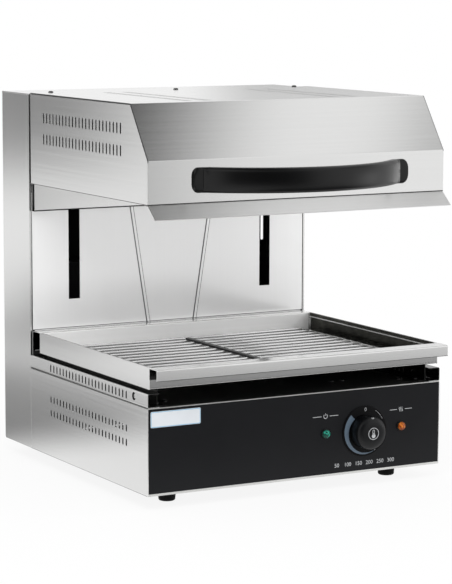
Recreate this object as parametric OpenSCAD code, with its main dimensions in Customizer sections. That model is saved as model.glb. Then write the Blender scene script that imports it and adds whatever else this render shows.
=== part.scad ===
// Rise-and-fall cheese melter: a heated hood that slides on a rear column over a drip tray.
// Millimetres. +Z is up, -Y is the front, and the origin is on the floor under the middle of the
// whole body. Inside the modules Y = 0 is the base's front face and Z = 0 its lower edge.

/* [Casing] */
// Width of the base, column and hood
body_w = 450; // [380:5:620]
// Depth of the base in front of the column
base_d = 364; // [300:2:460]
// Depth of the rear column
column_d = 91; // [76:1:130]
// Height of the base, without its deck plate
base_h = 114.4; // [92:0.2:150]
// Height of the column above the base's lower edge
column_h = 503; // [480:1:620]
// Thickness of the folded steel sheet
sheet_t = 1; // [0.8:0.1:1.3]
// Thickness of the deck plate and the back panel
plate_t = 1.2; // [0.8:0.1:1.6]
// Inside radius of the sheet's bends
bend_r = 1.2; // [0.6:0.1:1.8]
// Gap at the seams between sheets
seam = 0.4; // [0.3:0.05:0.6]

/* [Feet] */
// Height of a foot
foot_h = 19; // [12:0.5:30]
// Diameter of a foot at its top
foot_d = 25; // [20:0.5:34]
// From the casing's side to a foot's centre
foot_inset = 53.5; // [30:0.5:80]
// From the casing's front or back to a foot's centre
foot_setback = 50; // [40:1:90]

/* [Vents] */
// Slots in each row of the sides
vent_count = 24; // [8:1:26]
// Width of one slot
vent_w = 3.8; // [2:0.1:5]
// From the base's front to its first slot
base_vent_front = 62; // [30:1:90]
// From the base's last slot to the column
base_vent_rear = 67.4; // [30:0.2:90]
// From the hood's front to its first slot
hood_vent_front = 77.7; // [40:0.1:90]
// From the hood's last slot to its rear
hood_vent_rear = 43.5; // [30:0.5:90]
// Height of the base's slots
base_vent_h = 9.8; // [6:0.1:14]
// Height of the hood's slots
hood_vent_h = 14.8; // [8:0.1:18]

/* [Tray and its channels] */
// Height of a side channel
channel_h = 18.8; // [14:0.2:26]
// Width of a side channel
channel_w = 17; // [12:0.5:24]
// From a channel's top up to the underside of the tray
tray_lift = 5.3; // [3:0.1:9]
// From the casing's side to the tray's
tray_side_gap = 3.5; // [2:0.5:8]
// Height of the tray's walls
tray_h = 28.8; // [20:0.2:40]
// Reach of the tray's front flange
tray_lip_reach = 23.2; // [12:0.2:34]
// Drop of the tray's front flange
tray_lip_drop = 15; // [8:0.2:20]
// Space between the tray's rear wall and the column
tray_rear_gap = 24; // [16:1:36]
// Diameter of a grid rod
grid_rod_d = 4.2; // [3:0.1:6]
// Rods across the grid
grid_rods = 15; // [8:1:17]

/* [Hood] */
// Height of the hood's sides
hood_h = 127; // [100:1:150]
// Step from the column's top up to the hood's
hood_step = 1.5; // [1:0.5:6]
// Reach of the hood in front of the base
hood_forward = 1.7; // [0:0.1:6]
// Gap between the hood and the column
hood_gap = 6.5; // [5:0.5:10]
// Run of the slope between the hood's top and front
slope_run = 50; // [30:1:80]
// Drop of the slope
slope_drop = 71; // [40:1:80]
// Reach of the flared lip
lip_reach = 19; // [8:0.5:30]
// Drop of the flared lip
lip_drop = 18; // [8:0.5:26]
// Drop of the rear skirt below the hood
skirt_drop = 39; // [24:1:50]
// From the tray's rim to the skirt when the hood is fully down
low_gap = 5; // [2:0.5:60]

/* [Handle] */
// Length of the handle
handle_l = 325; // [200:1:380]
// Height of the handle's grip
handle_h = 33; // [24:1:44]
// Reach of the handle's bow in front of the hood
handle_reach = 72.3; // [50:0.5:90]
// Thickness of the bow
handle_t = 14; // [10:0.5:18]
// From the hood's lower edge up to the handle
handle_up = 13.5; // [4:0.5:20]

/* [Controls] */
// From the middle to the knob's axis
knob_x = 103.5; // [60:0.5:140]
// Height of the knob above the base's lower edge
control_z = 56.8; // [44:0.2:80]
// How much higher the lights sit than the knob
light_up = 1.6; // [0:0.2:4]
// Diameter of the knob
knob_d = 46; // [36:1:56]
// How far the knob stands out
knob_out = 24; // [18:0.5:32]
// Diameter of the dial plate
dial_d = 70; // [58:1:84]
// From the middle to the power light
power_x = 42.2; // [20:0.2:56]
// From the middle to the heat light
heat_x = 162.2; // [148:0.2:185]
// Diameter of a light's lens
lens_d = 13; // [10:0.5:16]

/* [Lift] */
// From the middle to each lift arm's slot
slot_x = 156; // [140:1:175]
// Width of the lift slots
slot_w = 17.5; // [14:0.5:22]
// Thickness of a lift arm
arm_t = 12; // [8:0.5:13]
// Diameter of the guide rods
rod_d = 12; // [8:1:16]
// From the middle to each guide rod
rod_x = 115; // [105:1:118]
// From the middle to each pulley
pulley_x = 70; // [50:1:76]
// Width of a pulley
pulley_w = 10; // [8:0.5:14]
// Diameter of the wire ropes
rope_d = 3; // [2:0.5:4]
// Thickness of the counterweight
weight_t = 28; // [20:0.5:30]
// Height of the counterweight
weight_h = 145; // [110:1:170]
// Width of the counterweight
weight_w = 300; // [200:2:320]

/* [Heating] */
// Diameter of the heating elements
element_d = 8; // [6.5:0.5:10]
// Number of heating elements, one behind the other
element_count = 3; // [2:1:3]
// From leg to leg of one element
element_gap = 46; // [36:1:52]

/* [Hidden] */
$fn = 48;

// Clearances: round parts that turn or slide in each other, parts that rest on each other,
// screw shanks in their holes, and a stop from what it stops
run_gap = 0.05;
rest_gap = 0.1;
pass_gap = 0.1;
stop_gap = 0.4;
// Flats in each bend
bend_steps = 5;

// Screws
screw_r = 2;
screw_head_r = 3.6;
screw_head_h = 2.2;

half_w = body_w/2;
inner_w = half_w - sheet_t - seam;
column_y = base_d;
back_y = base_d + column_d;
base_rear_y = base_d - seam;
deck_z = base_h + plate_t;
front_edge_h = 3;

// Lift works
carriage_t = 3;
carriage_y = column_y + plate_t + 6;
bush_d = 26;
bush_h = 60;
rod_r = rod_d/2;
rod_y = carriage_y + carriage_t + bush_d/2;
rope_r = rope_d/2;
front_rope_y = carriage_y + carriage_t + 8;
weight_gap = 4;
weight_y = back_y - 2*sheet_t - weight_gap - weight_t/2;
pulley_r = (weight_y - front_rope_y)/2;
pulley_y = (weight_y + front_rope_y)/2;
pulley_flange = 3.5;
axle_r = 4;
pulley_z = column_h - sheet_t - pulley_r - pulley_flange - 4;
cross_t = 3;
bracket_rise = 11;
upper_z = pulley_z - bracket_rise - cross_t;
cheek_t = 2;

// Hood, measured at rest at the top of its travel
hood_top = column_h + hood_step;
hood_z = hood_top - hood_h;
hood_front = -hood_forward;
hood_rear = base_d - hood_gap;
slope_z = hood_top - slope_drop;
slope_y = hood_front + slope_run;
box_inset = 25;
box_half_w = half_w - box_inset;
box_front = 12;
box_rear = hood_rear - 7.5;
box_h = 67;
flange_z = hood_z + sheet_t;
skirt_d = 9.5;
skirt_rear = column_y - 2.5;
skirt_z = hood_z - skirt_drop;
arm_z = hood_z + 3.5;
arm_h = 60;
bush_z = arm_z;
carriage_z = hood_z - 2;
carriage_h = upper_z - 9 - carriage_z;
element_z = hood_z + 18;
reflector_z = element_z + 22;

// Tray
tray_z = deck_z + channel_h + tray_lift;
tray_floor = tray_z + sheet_t;
tray_rim = tray_z + tray_h;
tray_w = body_w - 2*tray_side_gap;
tray_half = tray_w/2;
tray_front = 1.2;
tray_rear = base_d - tray_rear_gap;
tray_flange_rear = base_d - 1.5;
hem_drop = 6.5;
grid_foot_r = grid_rod_d*0.35;
rod_z = tray_floor + rest_gap + 2*grid_foot_r + grid_rod_d/3;
grid_half_w = tray_half - 20;
grid_bar_w = 8;
grid_bar_short = 18;
grid_front = tray_front + 19;
grid_rear = tray_rear - 9;

// How far the hood comes down, and what that sets in the column
travel = skirt_z - tray_rim - low_gap;
slot_z = arm_z - travel - 6;
slot_top = arm_z + arm_h + 11;
lower_z = bush_z - travel - 21;

// Counterweight, low while the hood is up
crimp_h = 14;
weight_z = pulley_z - pulley_r - pulley_flange - crimp_h - 5 - travel - weight_h;
crimp_r = 4;
carriage_crimp_z = carriage_z + 20;

// Handle
handle_half = handle_l/2;
handle_z = hood_z + handle_up;
handle_end = 9;
handle_rise = handle_reach - handle_end;
handle_r = (handle_half*handle_half + handle_rise*handle_rise)/(2*handle_rise);
handle_centre_y = hood_front - handle_reach + handle_r;
handle_corner = 10;

gland_x = half_w - 75;
gland_z = 45;
gland_out = 16;
bore_r = 4.5;

front_reach = hood_forward + handle_reach;
rear_reach = back_y + gland_out;
origin_y = (front_reach - rear_reach)/2;

// ---------- Helpers ----------

function unit(v) = v/norm(v);
function left_of(v) = [-v[1], v[0]];
function turned(v, a) = [v[0]*cos(a) - v[1]*sin(a), v[0]*sin(a) + v[1]*cos(a)];
function backwards(list) = [for (i = [len(list) - 1:-1:0]) list[i]];

// The points of one face of a bend. far is true for the face that lies to the path's left.
function bend_face(p, i, t, far) =
  let (
    d0 = unit(p[i] - p[i - 1]),
    d1 = unit(p[i + 1] - p[i]),
    n0 = left_of(d0),
    n1 = left_of(d1),
    side = sign(cross(d0, d1)),
    angle = side*acos(d0*d1),
    reach = side*t > 0 ? bend_r + abs(t) : bend_r,
    centre = p[i] + side*reach*(n0 + n1)/(1 + n0*n1),
    radius = far ? reach - side*t : reach
  )
  [for (k = [0:bend_steps]) centre - side*radius*turned(n0, angle*k/bend_steps)];

function sheet_face(p, t, far) =
  let (
    last = len(p) - 1,
    shift = far ? t : 0
  )
  concat(
    [p[0] + shift*left_of(unit(p[1] - p[0]))],
    [for (i = [1:last - 1]) each bend_face(p, i, t, far)],
    [p[last] + shift*left_of(unit(p[last] - p[last - 1]))]
  );

// A folded sheet's section. The path is one face, and the thickness lies to its left.
module folded(path, t = sheet_t)
  polygon(concat(sheet_face(path, t, false), backwards(sheet_face(path, t, true))));

// Runs a section drawn in (Y, Z) across the width.
module across(w) rotate([90, 0, 90]) linear_extrude(w, center = true) children();

// Runs a section drawn in (X, Z) from y0 back to y1.
module back(y0, y1) translate([0, y1, 0]) rotate([90, 0, 0]) linear_extrude(y1 - y0) children();

// A block between two corners.
module block(low, high) translate(low) cube(high - low);

module both_sides() {
  children();
  mirror([1, 0, 0]) children();
}

// Moves from the body's own measure to the floor frame.
module placed() translate([0, origin_y, foot_h]) children();

// One slot with round ends, through a side wall, at (y, z) its centre.
module side_slot(y, z, h, x, depth)
  translate([x, y, z]) rotate([90, 0, 90]) linear_extrude(depth, center = true)
    slot_outline(vent_w, h);

module slot_outline(w, h) {
  square([w, h - w], center = true);
  for (end = [-1, 1]) translate([0, end*(h - w)/2]) circle(w/2, $fn = 12);
}

function spread(y0, y1, count) = [for (i = [0:count - 1]) y0 + (y1 - y0)*i/(count - 1)];

module slot_row(y0, y1, z, h, x, depth)
  for (y = spread(y0, y1, vent_count)) side_slot(y, z, h, x, depth);

// A pan-head screw standing on a face at z = 0, with its shank below.
module pan_screw(shank) {
  rotate_extrude() polygon([[0, 0], [screw_head_r, 0], [screw_head_r, screw_head_h*0.55],
    [screw_head_r*0.72, screw_head_h], [0, screw_head_h]]);
  translate([0, 0, -shank]) cylinder(shank, r = screw_r);
}

module screw_hole(depth) translate([0, 0, -depth]) cylinder(2*depth, r = screw_r + pass_gap);

// ---------- Base ----------

base_vent_end = base_d - base_vent_rear;
base_vent_rows = [base_h - 53.3, base_h - 34];
rail_h = 13;

module base_shell() color("silver") placed() {
  both_sides() difference() {
    block([half_w - sheet_t, 0, 0], [half_w, base_rear_y, base_h]);
    for (z = base_vent_rows)
      slot_row(base_vent_front, base_vent_end, z, base_vent_h, half_w, 4*sheet_t);
  }
  for (z = [front_edge_h + seam, base_h - rail_h])
    block([-half_w + sheet_t, plate_t, z], [half_w - sheet_t, plate_t + sheet_t, z + rail_h]);
}

module front_panel() color("#28292b") placed() difference() {
  block([-inner_w, 0, front_edge_h + seam/2], [inner_w, plate_t, base_h - seam/2]);
  translate([knob_x, -1, control_z]) rotate([-90, 0, 0]) cylinder(4, r = 5.3);
  for (x = [power_x, heat_x])
    translate([x, -1, light_z]) rotate([-90, 0, 0]) cylinder(4, r = lamp_r + pass_gap);
}

deck_screw_places = [
  [-half_w + 43, 37], [half_w - 43, 37],
  [-half_w + 43, base_d - 44], [half_w - 43, base_d - 44],
  [90, 64], [107, 64]
];

module deck_plate() color("silver") placed() difference() {
  block([-half_w, 0, base_h], [half_w, base_rear_y, deck_z]);
  for (p = deck_screw_places) translate([p[0], p[1], deck_z]) screw_hole(5);
  for (y = rail_screw_places) both_sides()
    translate([rail_screw_x, y, deck_z]) screw_hole(5);
}

function foot_places() = [for (x = [-1, 1], y = [foot_setback, back_y - foot_setback])
  [x*(half_w - foot_inset), y]];

module bottom_plate() color("silver") placed() difference() {
  union() {
    block([-half_w + sheet_t, 0, 0], [half_w - sheet_t, back_y - 2*sheet_t - seam, sheet_t]);
    block([-half_w + sheet_t, 0, 0], [half_w - sheet_t, plate_t, front_edge_h]);
  }
  for (p = foot_places()) translate([p[0], p[1], 0])
    cylinder(9, r = foot_screw_r + pass_gap, center = true);
  for (x = [-90:15:90], y = [150, 230])
    translate([x, y, 0]) linear_extrude(9, center = true) slot_outline(4, 44);
}

foot_screw_r = 2.5;
foot_head_r = 4.6;
foot_recess = 7;

module feet() color("#161616") placed()
  for (p = foot_places()) translate([p[0], p[1], -foot_h]) difference() {
    rotate_extrude() polygon([[0, 0], [foot_d/2 - 3.2, 0], [foot_d/2 - 2, 0.6],
      [foot_d/2 - 1.3, 2], [foot_d/2, foot_h], [0, foot_h]]);
    translate([0, 0, -1]) cylinder(foot_recess + 1, r = foot_head_r + 0.6);
    cylinder(foot_h + 1, r = foot_screw_r + pass_gap);
  }

module foot_screws() color("silver") placed()
  for (p = foot_places()) translate([p[0], p[1], -foot_h + foot_recess]) {
    translate([0, 0, -2.8]) cylinder(2.8, r = foot_head_r);
    cylinder(foot_h - foot_recess + sheet_t + 6.5, r = foot_screw_r);
    translate([0, 0, foot_h - foot_recess + sheet_t]) difference() {
      cylinder(4, r = foot_head_r, $fn = 6);
      translate([0, 0, -1]) cylinder(6, r = foot_screw_r + run_gap);
    }
  }

// ---------- Side channels and tray rails ----------

channel_top = deck_z + channel_h;
rail_x = half_w - channel_w - 0.5;
rail_front = 9;
rail_foot = 12;
rail_screw_x = rail_x - 6.5;
stud_y = 39.7;
stud_z = deck_z + channel_h*0.55;
stud_r = 3.6;
stud_hole_r = 5.4;
rail_screw_places = [24, base_d - 60];

module side_channel() difference() {
  back(0, base_rear_y) folded([
    [half_w - channel_w, channel_top - sheet_t], [half_w - sheet_t, channel_top - sheet_t],
    [half_w - sheet_t, deck_z + sheet_t], [half_w - channel_w, deck_z + sheet_t]]);
  slot_row(base_vent_front, base_vent_end, deck_z + channel_h*0.47, channel_h*0.57,
    half_w, 4*sheet_t);
  translate([half_w, stud_y, stud_z]) rotate([0, 90, 0])
    cylinder(4*sheet_t, r = stud_hole_r, center = true);
}

module side_channel_right() color("silver") placed() side_channel();
module side_channel_left() color("silver") placed() mirror([1, 0, 0]) side_channel();

module tray_rail() difference() {
  back(rail_front, base_rear_y) folded([
    [rail_x - rail_foot, deck_z + sheet_t], [rail_x - sheet_t, deck_z + sheet_t],
    [rail_x - sheet_t, tray_z - rest_gap]], -sheet_t);
  slot_row(base_vent_front, base_vent_end, deck_z + channel_h*0.47, channel_h*0.5,
    rail_x, 4*sheet_t);
  translate([rail_x, stud_y, stud_z]) rotate([0, 90, 0])
    cylinder(4*sheet_t, r = screw_r + pass_gap, center = true);
  for (y = rail_screw_places) translate([rail_screw_x, y, deck_z + sheet_t]) screw_hole(3);
}

module tray_rail_right() color("silver") placed() tray_rail();
module tray_rail_left() color("silver") placed() mirror([1, 0, 0]) tray_rail();

module rail_studs() color("silver") placed() both_sides()
  translate([rail_x, stud_y, stud_z]) rotate([0, 90, 0]) {
    cylinder(half_w - rail_x - 0.8, r = stud_r);
    translate([0, 0, -4]) cylinder(4, r = screw_r);
  }

// ---------- Column ----------

return_front = 3.2;
return_rear = 14;

module column_shell() color("silver") placed() {
  back(column_y, back_y - sheet_t) folded([
    [half_w, 0], [half_w, column_h], [-half_w, column_h], [-half_w, 0]]);
  back(column_y, column_y + plate_t) column_ring(return_front);
  difference() {
    back(back_y - 2*sheet_t, back_y - sheet_t) column_ring(return_rear);
    cover_fixings() cylinder(30, r = screw_r + pass_gap, center = true);
  }
}

// The turned-in edge of the column: sides and top, standing on the bottom plate.
module column_ring(w) difference() {
  outer = 0.8*sheet_t;
  translate([-half_w + outer, sheet_t + seam])
    square([body_w - 2*outer, column_h - outer - sheet_t - seam]);
  translate([-half_w + w, 0]) square([body_w - 2*w, column_h - w]);
}

cover_side_screws = [40, column_h/3, column_h*2/3, column_h - 30];

module cover_fixings() {
  for (x = [-1, 1]*(half_w - 8), z = cover_side_screws)
    translate([x, back_y, z]) rotate([-90, 0, 0]) children();
}

bead_w = 6.5;
bead_out = 0.9;
bead_foot_x = 31;
bead_lean = 9;

module back_panel() color("#e4e4e4") placed() {
  difference() {
    block([-half_w + return_front + 2*seam, column_y, base_h - 14],
      [half_w - return_front - 2*seam, column_y + plate_t, column_h - return_front - 2*seam]);
    both_sides() block([slot_x - slot_w/2, column_y - 2, slot_z],
      [slot_x + slot_w/2, column_y + plate_t + 2, slot_top]);
  }
  both_sides() translate([bead_foot_x, column_y, base_h + 11]) rotate([0, bead_lean, 0])
    linear_extrude(column_h - base_h - 90) polygon([[-bead_w/2, 0],
      [-bead_w/2 + 1.5, -bead_out], [bead_w/2 - 1.5, -bead_out], [bead_w/2, 0]]);
}

rear_vent_x = [22, 42, 62, 82];

module rear_cover() color("silver") placed() difference() {
  block([-half_w, back_y - sheet_t, 2], [half_w, back_y, column_h]);
  cover_fixings() cylinder(10, r = screw_r + pass_gap, center = true);
  both_sides() for (x = rear_vent_x, z = [column_h - 191, 110])
    back(back_y - 3, back_y + 1) translate([half_w - x, z]) slot_outline(4.6, 90);
  translate([gland_x, back_y, gland_z]) rotate([90, 0, 0])
    cylinder(9, r = gland_thread_r + pass_gap, center = true);
}

module casing_screws() color("#4a4a4a") placed() {
  cover_fixings() pan_screw(6);
  for (p = deck_screw_places) translate([p[0], p[1], deck_z]) pan_screw(6);
  for (y = rail_screw_places) both_sides()
    translate([rail_screw_x, y, deck_z + sheet_t]) pan_screw(6);
}

// ---------- Lift works inside the column ----------

cross_front = column_y + plate_t;
cross_rear = back_y - 2*sheet_t - 1;
lower_rear = weight_y - weight_t/2 - 3;
window_half = pulley_w/2 + 1.2;

// The turned-down ends of a crossmember, which are spot-welded to the column's sides.
module cross_ends(z, rear) both_sides()
  block([half_w - sheet_t - 1.5, cross_front, z - 12], [half_w - sheet_t, rear, z]);

module upper_crossmember() color("#9a9a9a") placed() {
  difference() {
    block([-half_w + sheet_t, cross_front, upper_z], [half_w - sheet_t, cross_rear, upper_z + cross_t]);
    both_sides() {
      block([pulley_x - window_half, pulley_y - pulley_r - 7, upper_z - 1],
        [pulley_x + window_half, pulley_y + pulley_r + 7, upper_z + cross_t + 1]);
      translate([rod_x, rod_y, upper_z - 1]) cylinder(cross_t + 2, r = rod_r + pass_gap);
    }
  }
  cross_ends(upper_z, cross_rear);
}

module lower_crossmember() color("#9a9a9a") placed() {
  difference() {
    block([-half_w + sheet_t, cross_front, lower_z - cross_t],
      [half_w - sheet_t, lower_rear, lower_z]);
    both_sides() translate([rod_x, rod_y, lower_z - cross_t - 1])
      cylinder(cross_t + 2, r = rod_r + pass_gap);
  }
  cross_ends(lower_z - cross_t, lower_rear);
}

nut_h = 7;

module guide_rods() color("#d8d8d8") placed() both_sides()
  translate([rod_x, rod_y, lower_z - cross_t - nut_h - 2])
    cylinder(upper_z - lower_z + 2*cross_t + 2*nut_h + 4, r = rod_r);

module rod_nuts() color("#8c8c8c") placed() both_sides()
  for (z = [lower_z - cross_t - nut_h, upper_z + cross_t]) translate([rod_x, rod_y, z])
    difference() {
      cylinder(nut_h, r = rod_r*1.7, $fn = 6);
      translate([0, 0, -1]) cylinder(nut_h + 2, r = rod_r + run_gap);
    }

module travel_buffers() color("#1c1c1c") placed() both_sides() {
  ring([rod_x, rod_y, lower_z], bush_z - travel - stop_gap - lower_z);
  ring([rod_x, rod_y, bush_z + bush_h + stop_gap], upper_z - bush_z - bush_h - stop_gap);
}

module ring(at, h) translate(at) difference() {
  cylinder(h, r = rod_r + 5);
  translate([0, 0, -1]) cylinder(h + 2, r = rod_r + pass_gap);
}

cheek_half = 12;

module pulley_brackets() color("#9a9a9a") placed() both_sides() for (side = [-1, 1])
  translate([pulley_x, pulley_y, 0]) mirror([side < 0 ? 1 : 0, 0, 0]) {
    difference() {
      block([window_half, -cheek_half, upper_z + cross_t],
        [window_half + cheek_t, cheek_half, pulley_z + 11]);
      translate([window_half - 1, 0, pulley_z]) rotate([0, 90, 0])
        cylinder(cheek_t + 2, r = axle_r + pass_gap);
    }
    block([window_half + cheek_t, -cheek_half, upper_z + cross_t],
      [window_half + cheek_t + 9, cheek_half, upper_z + cross_t + cheek_t]);
  }

module pulley_axles() color("#d8d8d8") placed() both_sides()
  translate([pulley_x, pulley_y, pulley_z]) rotate([0, 90, 0]) {
    cylinder(2*(window_half + cheek_t + 2.2), r = axle_r, center = true);
    for (side = [-1, 1]) translate([0, 0, side*(window_half + cheek_t + 1.2)])
      cylinder(2, r = axle_r + 2, center = true);
  }

module pulley() rotate([0, 90, 0]) rotate_extrude() polygon([
  [axle_r + run_gap, -pulley_w/2], [pulley_r + pulley_flange, -pulley_w/2],
  [pulley_r + pulley_flange, -pulley_w/2 + 1], [pulley_r - rope_r - rest_gap, -rope_r - rest_gap],
  [pulley_r - rope_r - rest_gap, rope_r + rest_gap], [pulley_r + pulley_flange, pulley_w/2 - 1],
  [pulley_r + pulley_flange, pulley_w/2], [axle_r + run_gap, pulley_w/2]]);

module pulley_right() color("#b9b9b9") placed() translate([pulley_x, pulley_y, pulley_z]) pulley();
module pulley_left() color("#b9b9b9") placed() translate([-pulley_x, pulley_y, pulley_z]) pulley();

module rope_wraps() color("#7d7d7d") placed() both_sides()
  translate([pulley_x, pulley_y, pulley_z]) rotate([90, 0, 90]) rotate_extrude(angle = 180)
    translate([pulley_r, 0]) circle(rope_r, $fn = 24);

module rope(y, z0, z1) translate([pulley_x, y, z0]) cylinder(z1 - z0, r = rope_r, $fn = 24);

module carriage_ropes() color("#7d7d7d") placed() both_sides()
  rope(front_rope_y, carriage_crimp_z + crimp_h, pulley_z);

module weight_ropes() color("#7d7d7d") placed() both_sides()
  rope(weight_y, weight_z + weight_h + crimp_h, pulley_z);

module counterweight() color("#3c3c3e") placed()
  block([-weight_w/2, weight_y - weight_t/2, weight_z],
    [weight_w/2, weight_y + weight_t/2, weight_z + weight_h]);

module weight_crimps() color("#8c8c8c") placed() both_sides()
  translate([pulley_x, weight_y, weight_z + weight_h]) cylinder(crimp_h, r = crimp_r);

module carriage_crimps() color("#8c8c8c") placed() both_sides()
  translate([pulley_x, front_rope_y, carriage_crimp_z]) cylinder(crimp_h, r = crimp_r);

// ---------- Controls ----------

lamp_r = 5;
bushing_r = 5;
shaft_r = 3;
dial_t = 1.2;
regulator_size = [48, 34, 46];
regulator_y = plate_t + 8;
light_z = control_z + light_up;

module heat_regulator() color("#d9d2c2") placed() translate([knob_x, 0, control_z]) difference() {
  union() {
    translate([-regulator_size[0]/2, regulator_y, -regulator_size[2]/2]) cube(regulator_size);
    rotate([-90, 0, 0]) cylinder(regulator_y, r = bushing_r);
  }
  translate([0, -1, 0]) rotate([-90, 0, 0]) cylinder(24, r = shaft_r + run_gap);
}

module regulator_shaft() color("#c9c9c9") placed()
  translate([knob_x, -knob_out*0.6, control_z]) rotate([-90, 0, 0])
    cylinder(knob_out*0.6 + 22, r = shaft_r);

module dial_plate() color("#131416") placed() translate([knob_x, 0, control_z]) difference() {
  rotate([90, 0, 0]) rotate_extrude($fn = 96) polygon([
    [0, 0], [dial_d/2, 0], [dial_d/2, dial_t*0.6], [dial_d/2 - 1.2, dial_t], [0, dial_t]]);
  rotate([90, 0, 0]) cylinder(9, r = bushing_r + 0.3, center = true);
}

module control_knob() color("#17181a") placed() translate([knob_x, 0, control_z]) difference() {
  rotate([90, 0, 0]) rotate_extrude($fn = 96) polygon([
    [0, dial_t + 1], [knob_d/2 - 0.6, dial_t + 1], [knob_d/2, dial_t + 1.6],
    [knob_d/2 - 0.6, knob_out - 5], [knob_d/2 - 1.6, knob_out - 2.8], [knob_d/2 - 5, knob_out - 1.1],
    [knob_d/2 - 12, knob_out - 0.2], [0, knob_out]]);
  rotate([90, 0, 0]) cylinder(knob_out*0.6 + 0.2, r = shaft_r + run_gap);
}

module lens(x) translate([x, 0, light_z]) rotate([90, 0, 0]) rotate_extrude() polygon([
  [0, 0], [lens_d/2, 0], [lens_d/2, 2.6], [lens_d/2*0.93, 4.4],
  [lens_d/2*0.72, 6], [lens_d/2*0.4, 7], [0, 7.3]]);

module power_light() color("#0f7a5c") placed() lens(power_x);
module heat_light() color("#d5691c") placed() lens(heat_x);

module lamp_bodies() color("#202020") placed() for (x = [power_x, heat_x])
  translate([x, 0, light_z]) rotate([-90, 0, 0]) {
    cylinder(24, r = lamp_r);
    translate([0, 0, plate_t + seam/2]) difference() {
      cylinder(3, r = lamp_r + 3, $fn = 6);
      translate([0, 0, -1]) cylinder(5, r = lamp_r - 0.5);
    }
    translate([0, 0, 24]) for (dx = [-2.5, 2.5]) translate([dx - 0.4, -1.5, 0]) cube([0.8, 3, 6]);
  }

block_size = [52, 22, 17];

module terminal_block() color("#ece8dc") placed()
  translate([gland_x - 20 - block_size[0]/2, column_y + 22, sheet_t]) difference() {
    union() {
      cube([block_size[0], block_size[1], block_size[2]*0.55]);
      translate([0, block_size[1]*0.3, 0]) cube([block_size[0], block_size[1]*0.4, block_size[2]]);
    }
    for (i = [0:3]) translate([8 + i*12, block_size[1]/2, block_size[2]*0.6]) cylinder(20, r = 2.4);
  }

gland_thread_r = 8;

module cable_gland() color("#1b1b1b") placed()
  translate([gland_x, back_y, gland_z]) rotate([-90, 0, 0]) {
    difference() {
      union() {
        cylinder(5, r = 11.5, $fn = 6);
        translate([0, 0, 5]) cylinder(gland_out - 9, r = 9.6);
        translate([0, 0, gland_out - 4]) cylinder(4, 9.6, 7.6, $fn = 48);
        translate([0, 0, -8]) cylinder(8, r = gland_thread_r);
      }
      translate([0, 0, -9]) cylinder(gland_out + 10, r = bore_r);
    }
    translate([0, 0, -sheet_t - 4]) difference() {
      cylinder(4, r = 12, $fn = 6);
      translate([0, 0, -1]) cylinder(6, r = gland_thread_r + run_gap);
    }
  }

label_size = [73, 21];

module blank_label() color("#dfe9ee") placed()
  back(-0.3, 0) translate([-half_w + 4 + label_size[0]/2, base_h - 3.5 - label_size[1]/2])
    rounded(label_size[0], label_size[1], 2);

// ---------- Tray and grid ----------

module drip_tray() color("silver") placed() {
  across(tray_w) folded([
    [tray_flange_rear, tray_z + 1.5], [tray_flange_rear, tray_rim],
    [tray_rear - sheet_t, tray_rim], [tray_rear - sheet_t, tray_floor],
    [tray_front + sheet_t, tray_floor], [tray_front + sheet_t, tray_rim],
    [tray_front + sheet_t - 6, tray_rim]]);
  across(tray_w + 3) folded([
    [tray_front + sheet_t - 3, tray_rim], [tray_front - tray_lip_reach, tray_rim],
    [tray_front - tray_lip_reach, tray_rim - tray_lip_drop]]);
  both_sides() {
    block([tray_half - sheet_t, tray_front, tray_z], [tray_half, tray_rear, tray_rim]);
    block([tray_half - 3*sheet_t, tray_front + 2*sheet_t, tray_rim - sheet_t],
      [tray_half, tray_rear - 2*sheet_t, tray_rim]);
    block([tray_half - 3*sheet_t, tray_front + 2*sheet_t, tray_rim - hem_drop],
      [tray_half - 2*sheet_t, tray_rear - 2*sheet_t, tray_rim]);
  }
}

module wire_grid() color("#cfcfcf") placed() {
  pitch = (grid_rear - grid_front)/(grid_rods - 1);
  for (i = [0:grid_rods - 1]) translate([0, grid_front + i*pitch, rod_z]) rotate([0, 90, 0])
    cylinder(2*grid_half_w, r = grid_rod_d/2, center = true, $fn = 24);
  both_sides() translate([grid_half_w - 8, grid_rear + 3, tray_floor + rest_gap + grid_foot_r])
    rotate([90, 0, 0]) cylinder(grid_rear - grid_front + 6, r = grid_foot_r, $fn = 24);
  back(grid_front - 3, grid_rear - grid_bar_short)
    translate([-grid_bar_w/2, rod_z + grid_rod_d*0.3]) square([grid_bar_w, 3]);
}

// ---------- Hood ----------

hood_vent_start = hood_front + hood_vent_front;
hood_vent_end = hood_rear - hood_vent_rear;
hood_vent_rows = [hood_top - 33.2, hood_top - 62.4];
hood_screw_y = hood_rear - 7.5;
hood_screw_x = [-half_w + 28, 0, half_w - 28];
top_vent_x = half_w/2;

function hood_profile(inset) = [
  [hood_rear, hood_top - inset], [slope_y, hood_top - inset],
  [hood_front + inset, slope_z], [hood_front + inset, hood_z]
];

module hood_cover() color("silver") placed() difference() {
  across(body_w) folded(hood_profile(0));
  for (x = hood_screw_x) translate([x, hood_screw_y, hood_top]) screw_hole(4);
  both_sides() for (dx = [-1, 1]*14.6, y = spread(hood_vent_start, hood_vent_end, vent_count))
    translate([top_vent_x + dx, y, hood_top])
      linear_extrude(6, center = true) rotate(90) slot_outline(vent_w, hood_vent_h);
  handle_fixings() cylinder(30, r = screw_r + pass_gap, center = true);
}

module handle_fixings() for (x = [-1, 1]*(handle_half - 8.5))
  translate([x, hood_front + sheet_t, handle_z + handle_h/2]) rotate([-90, 0, 0]) children();

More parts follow.
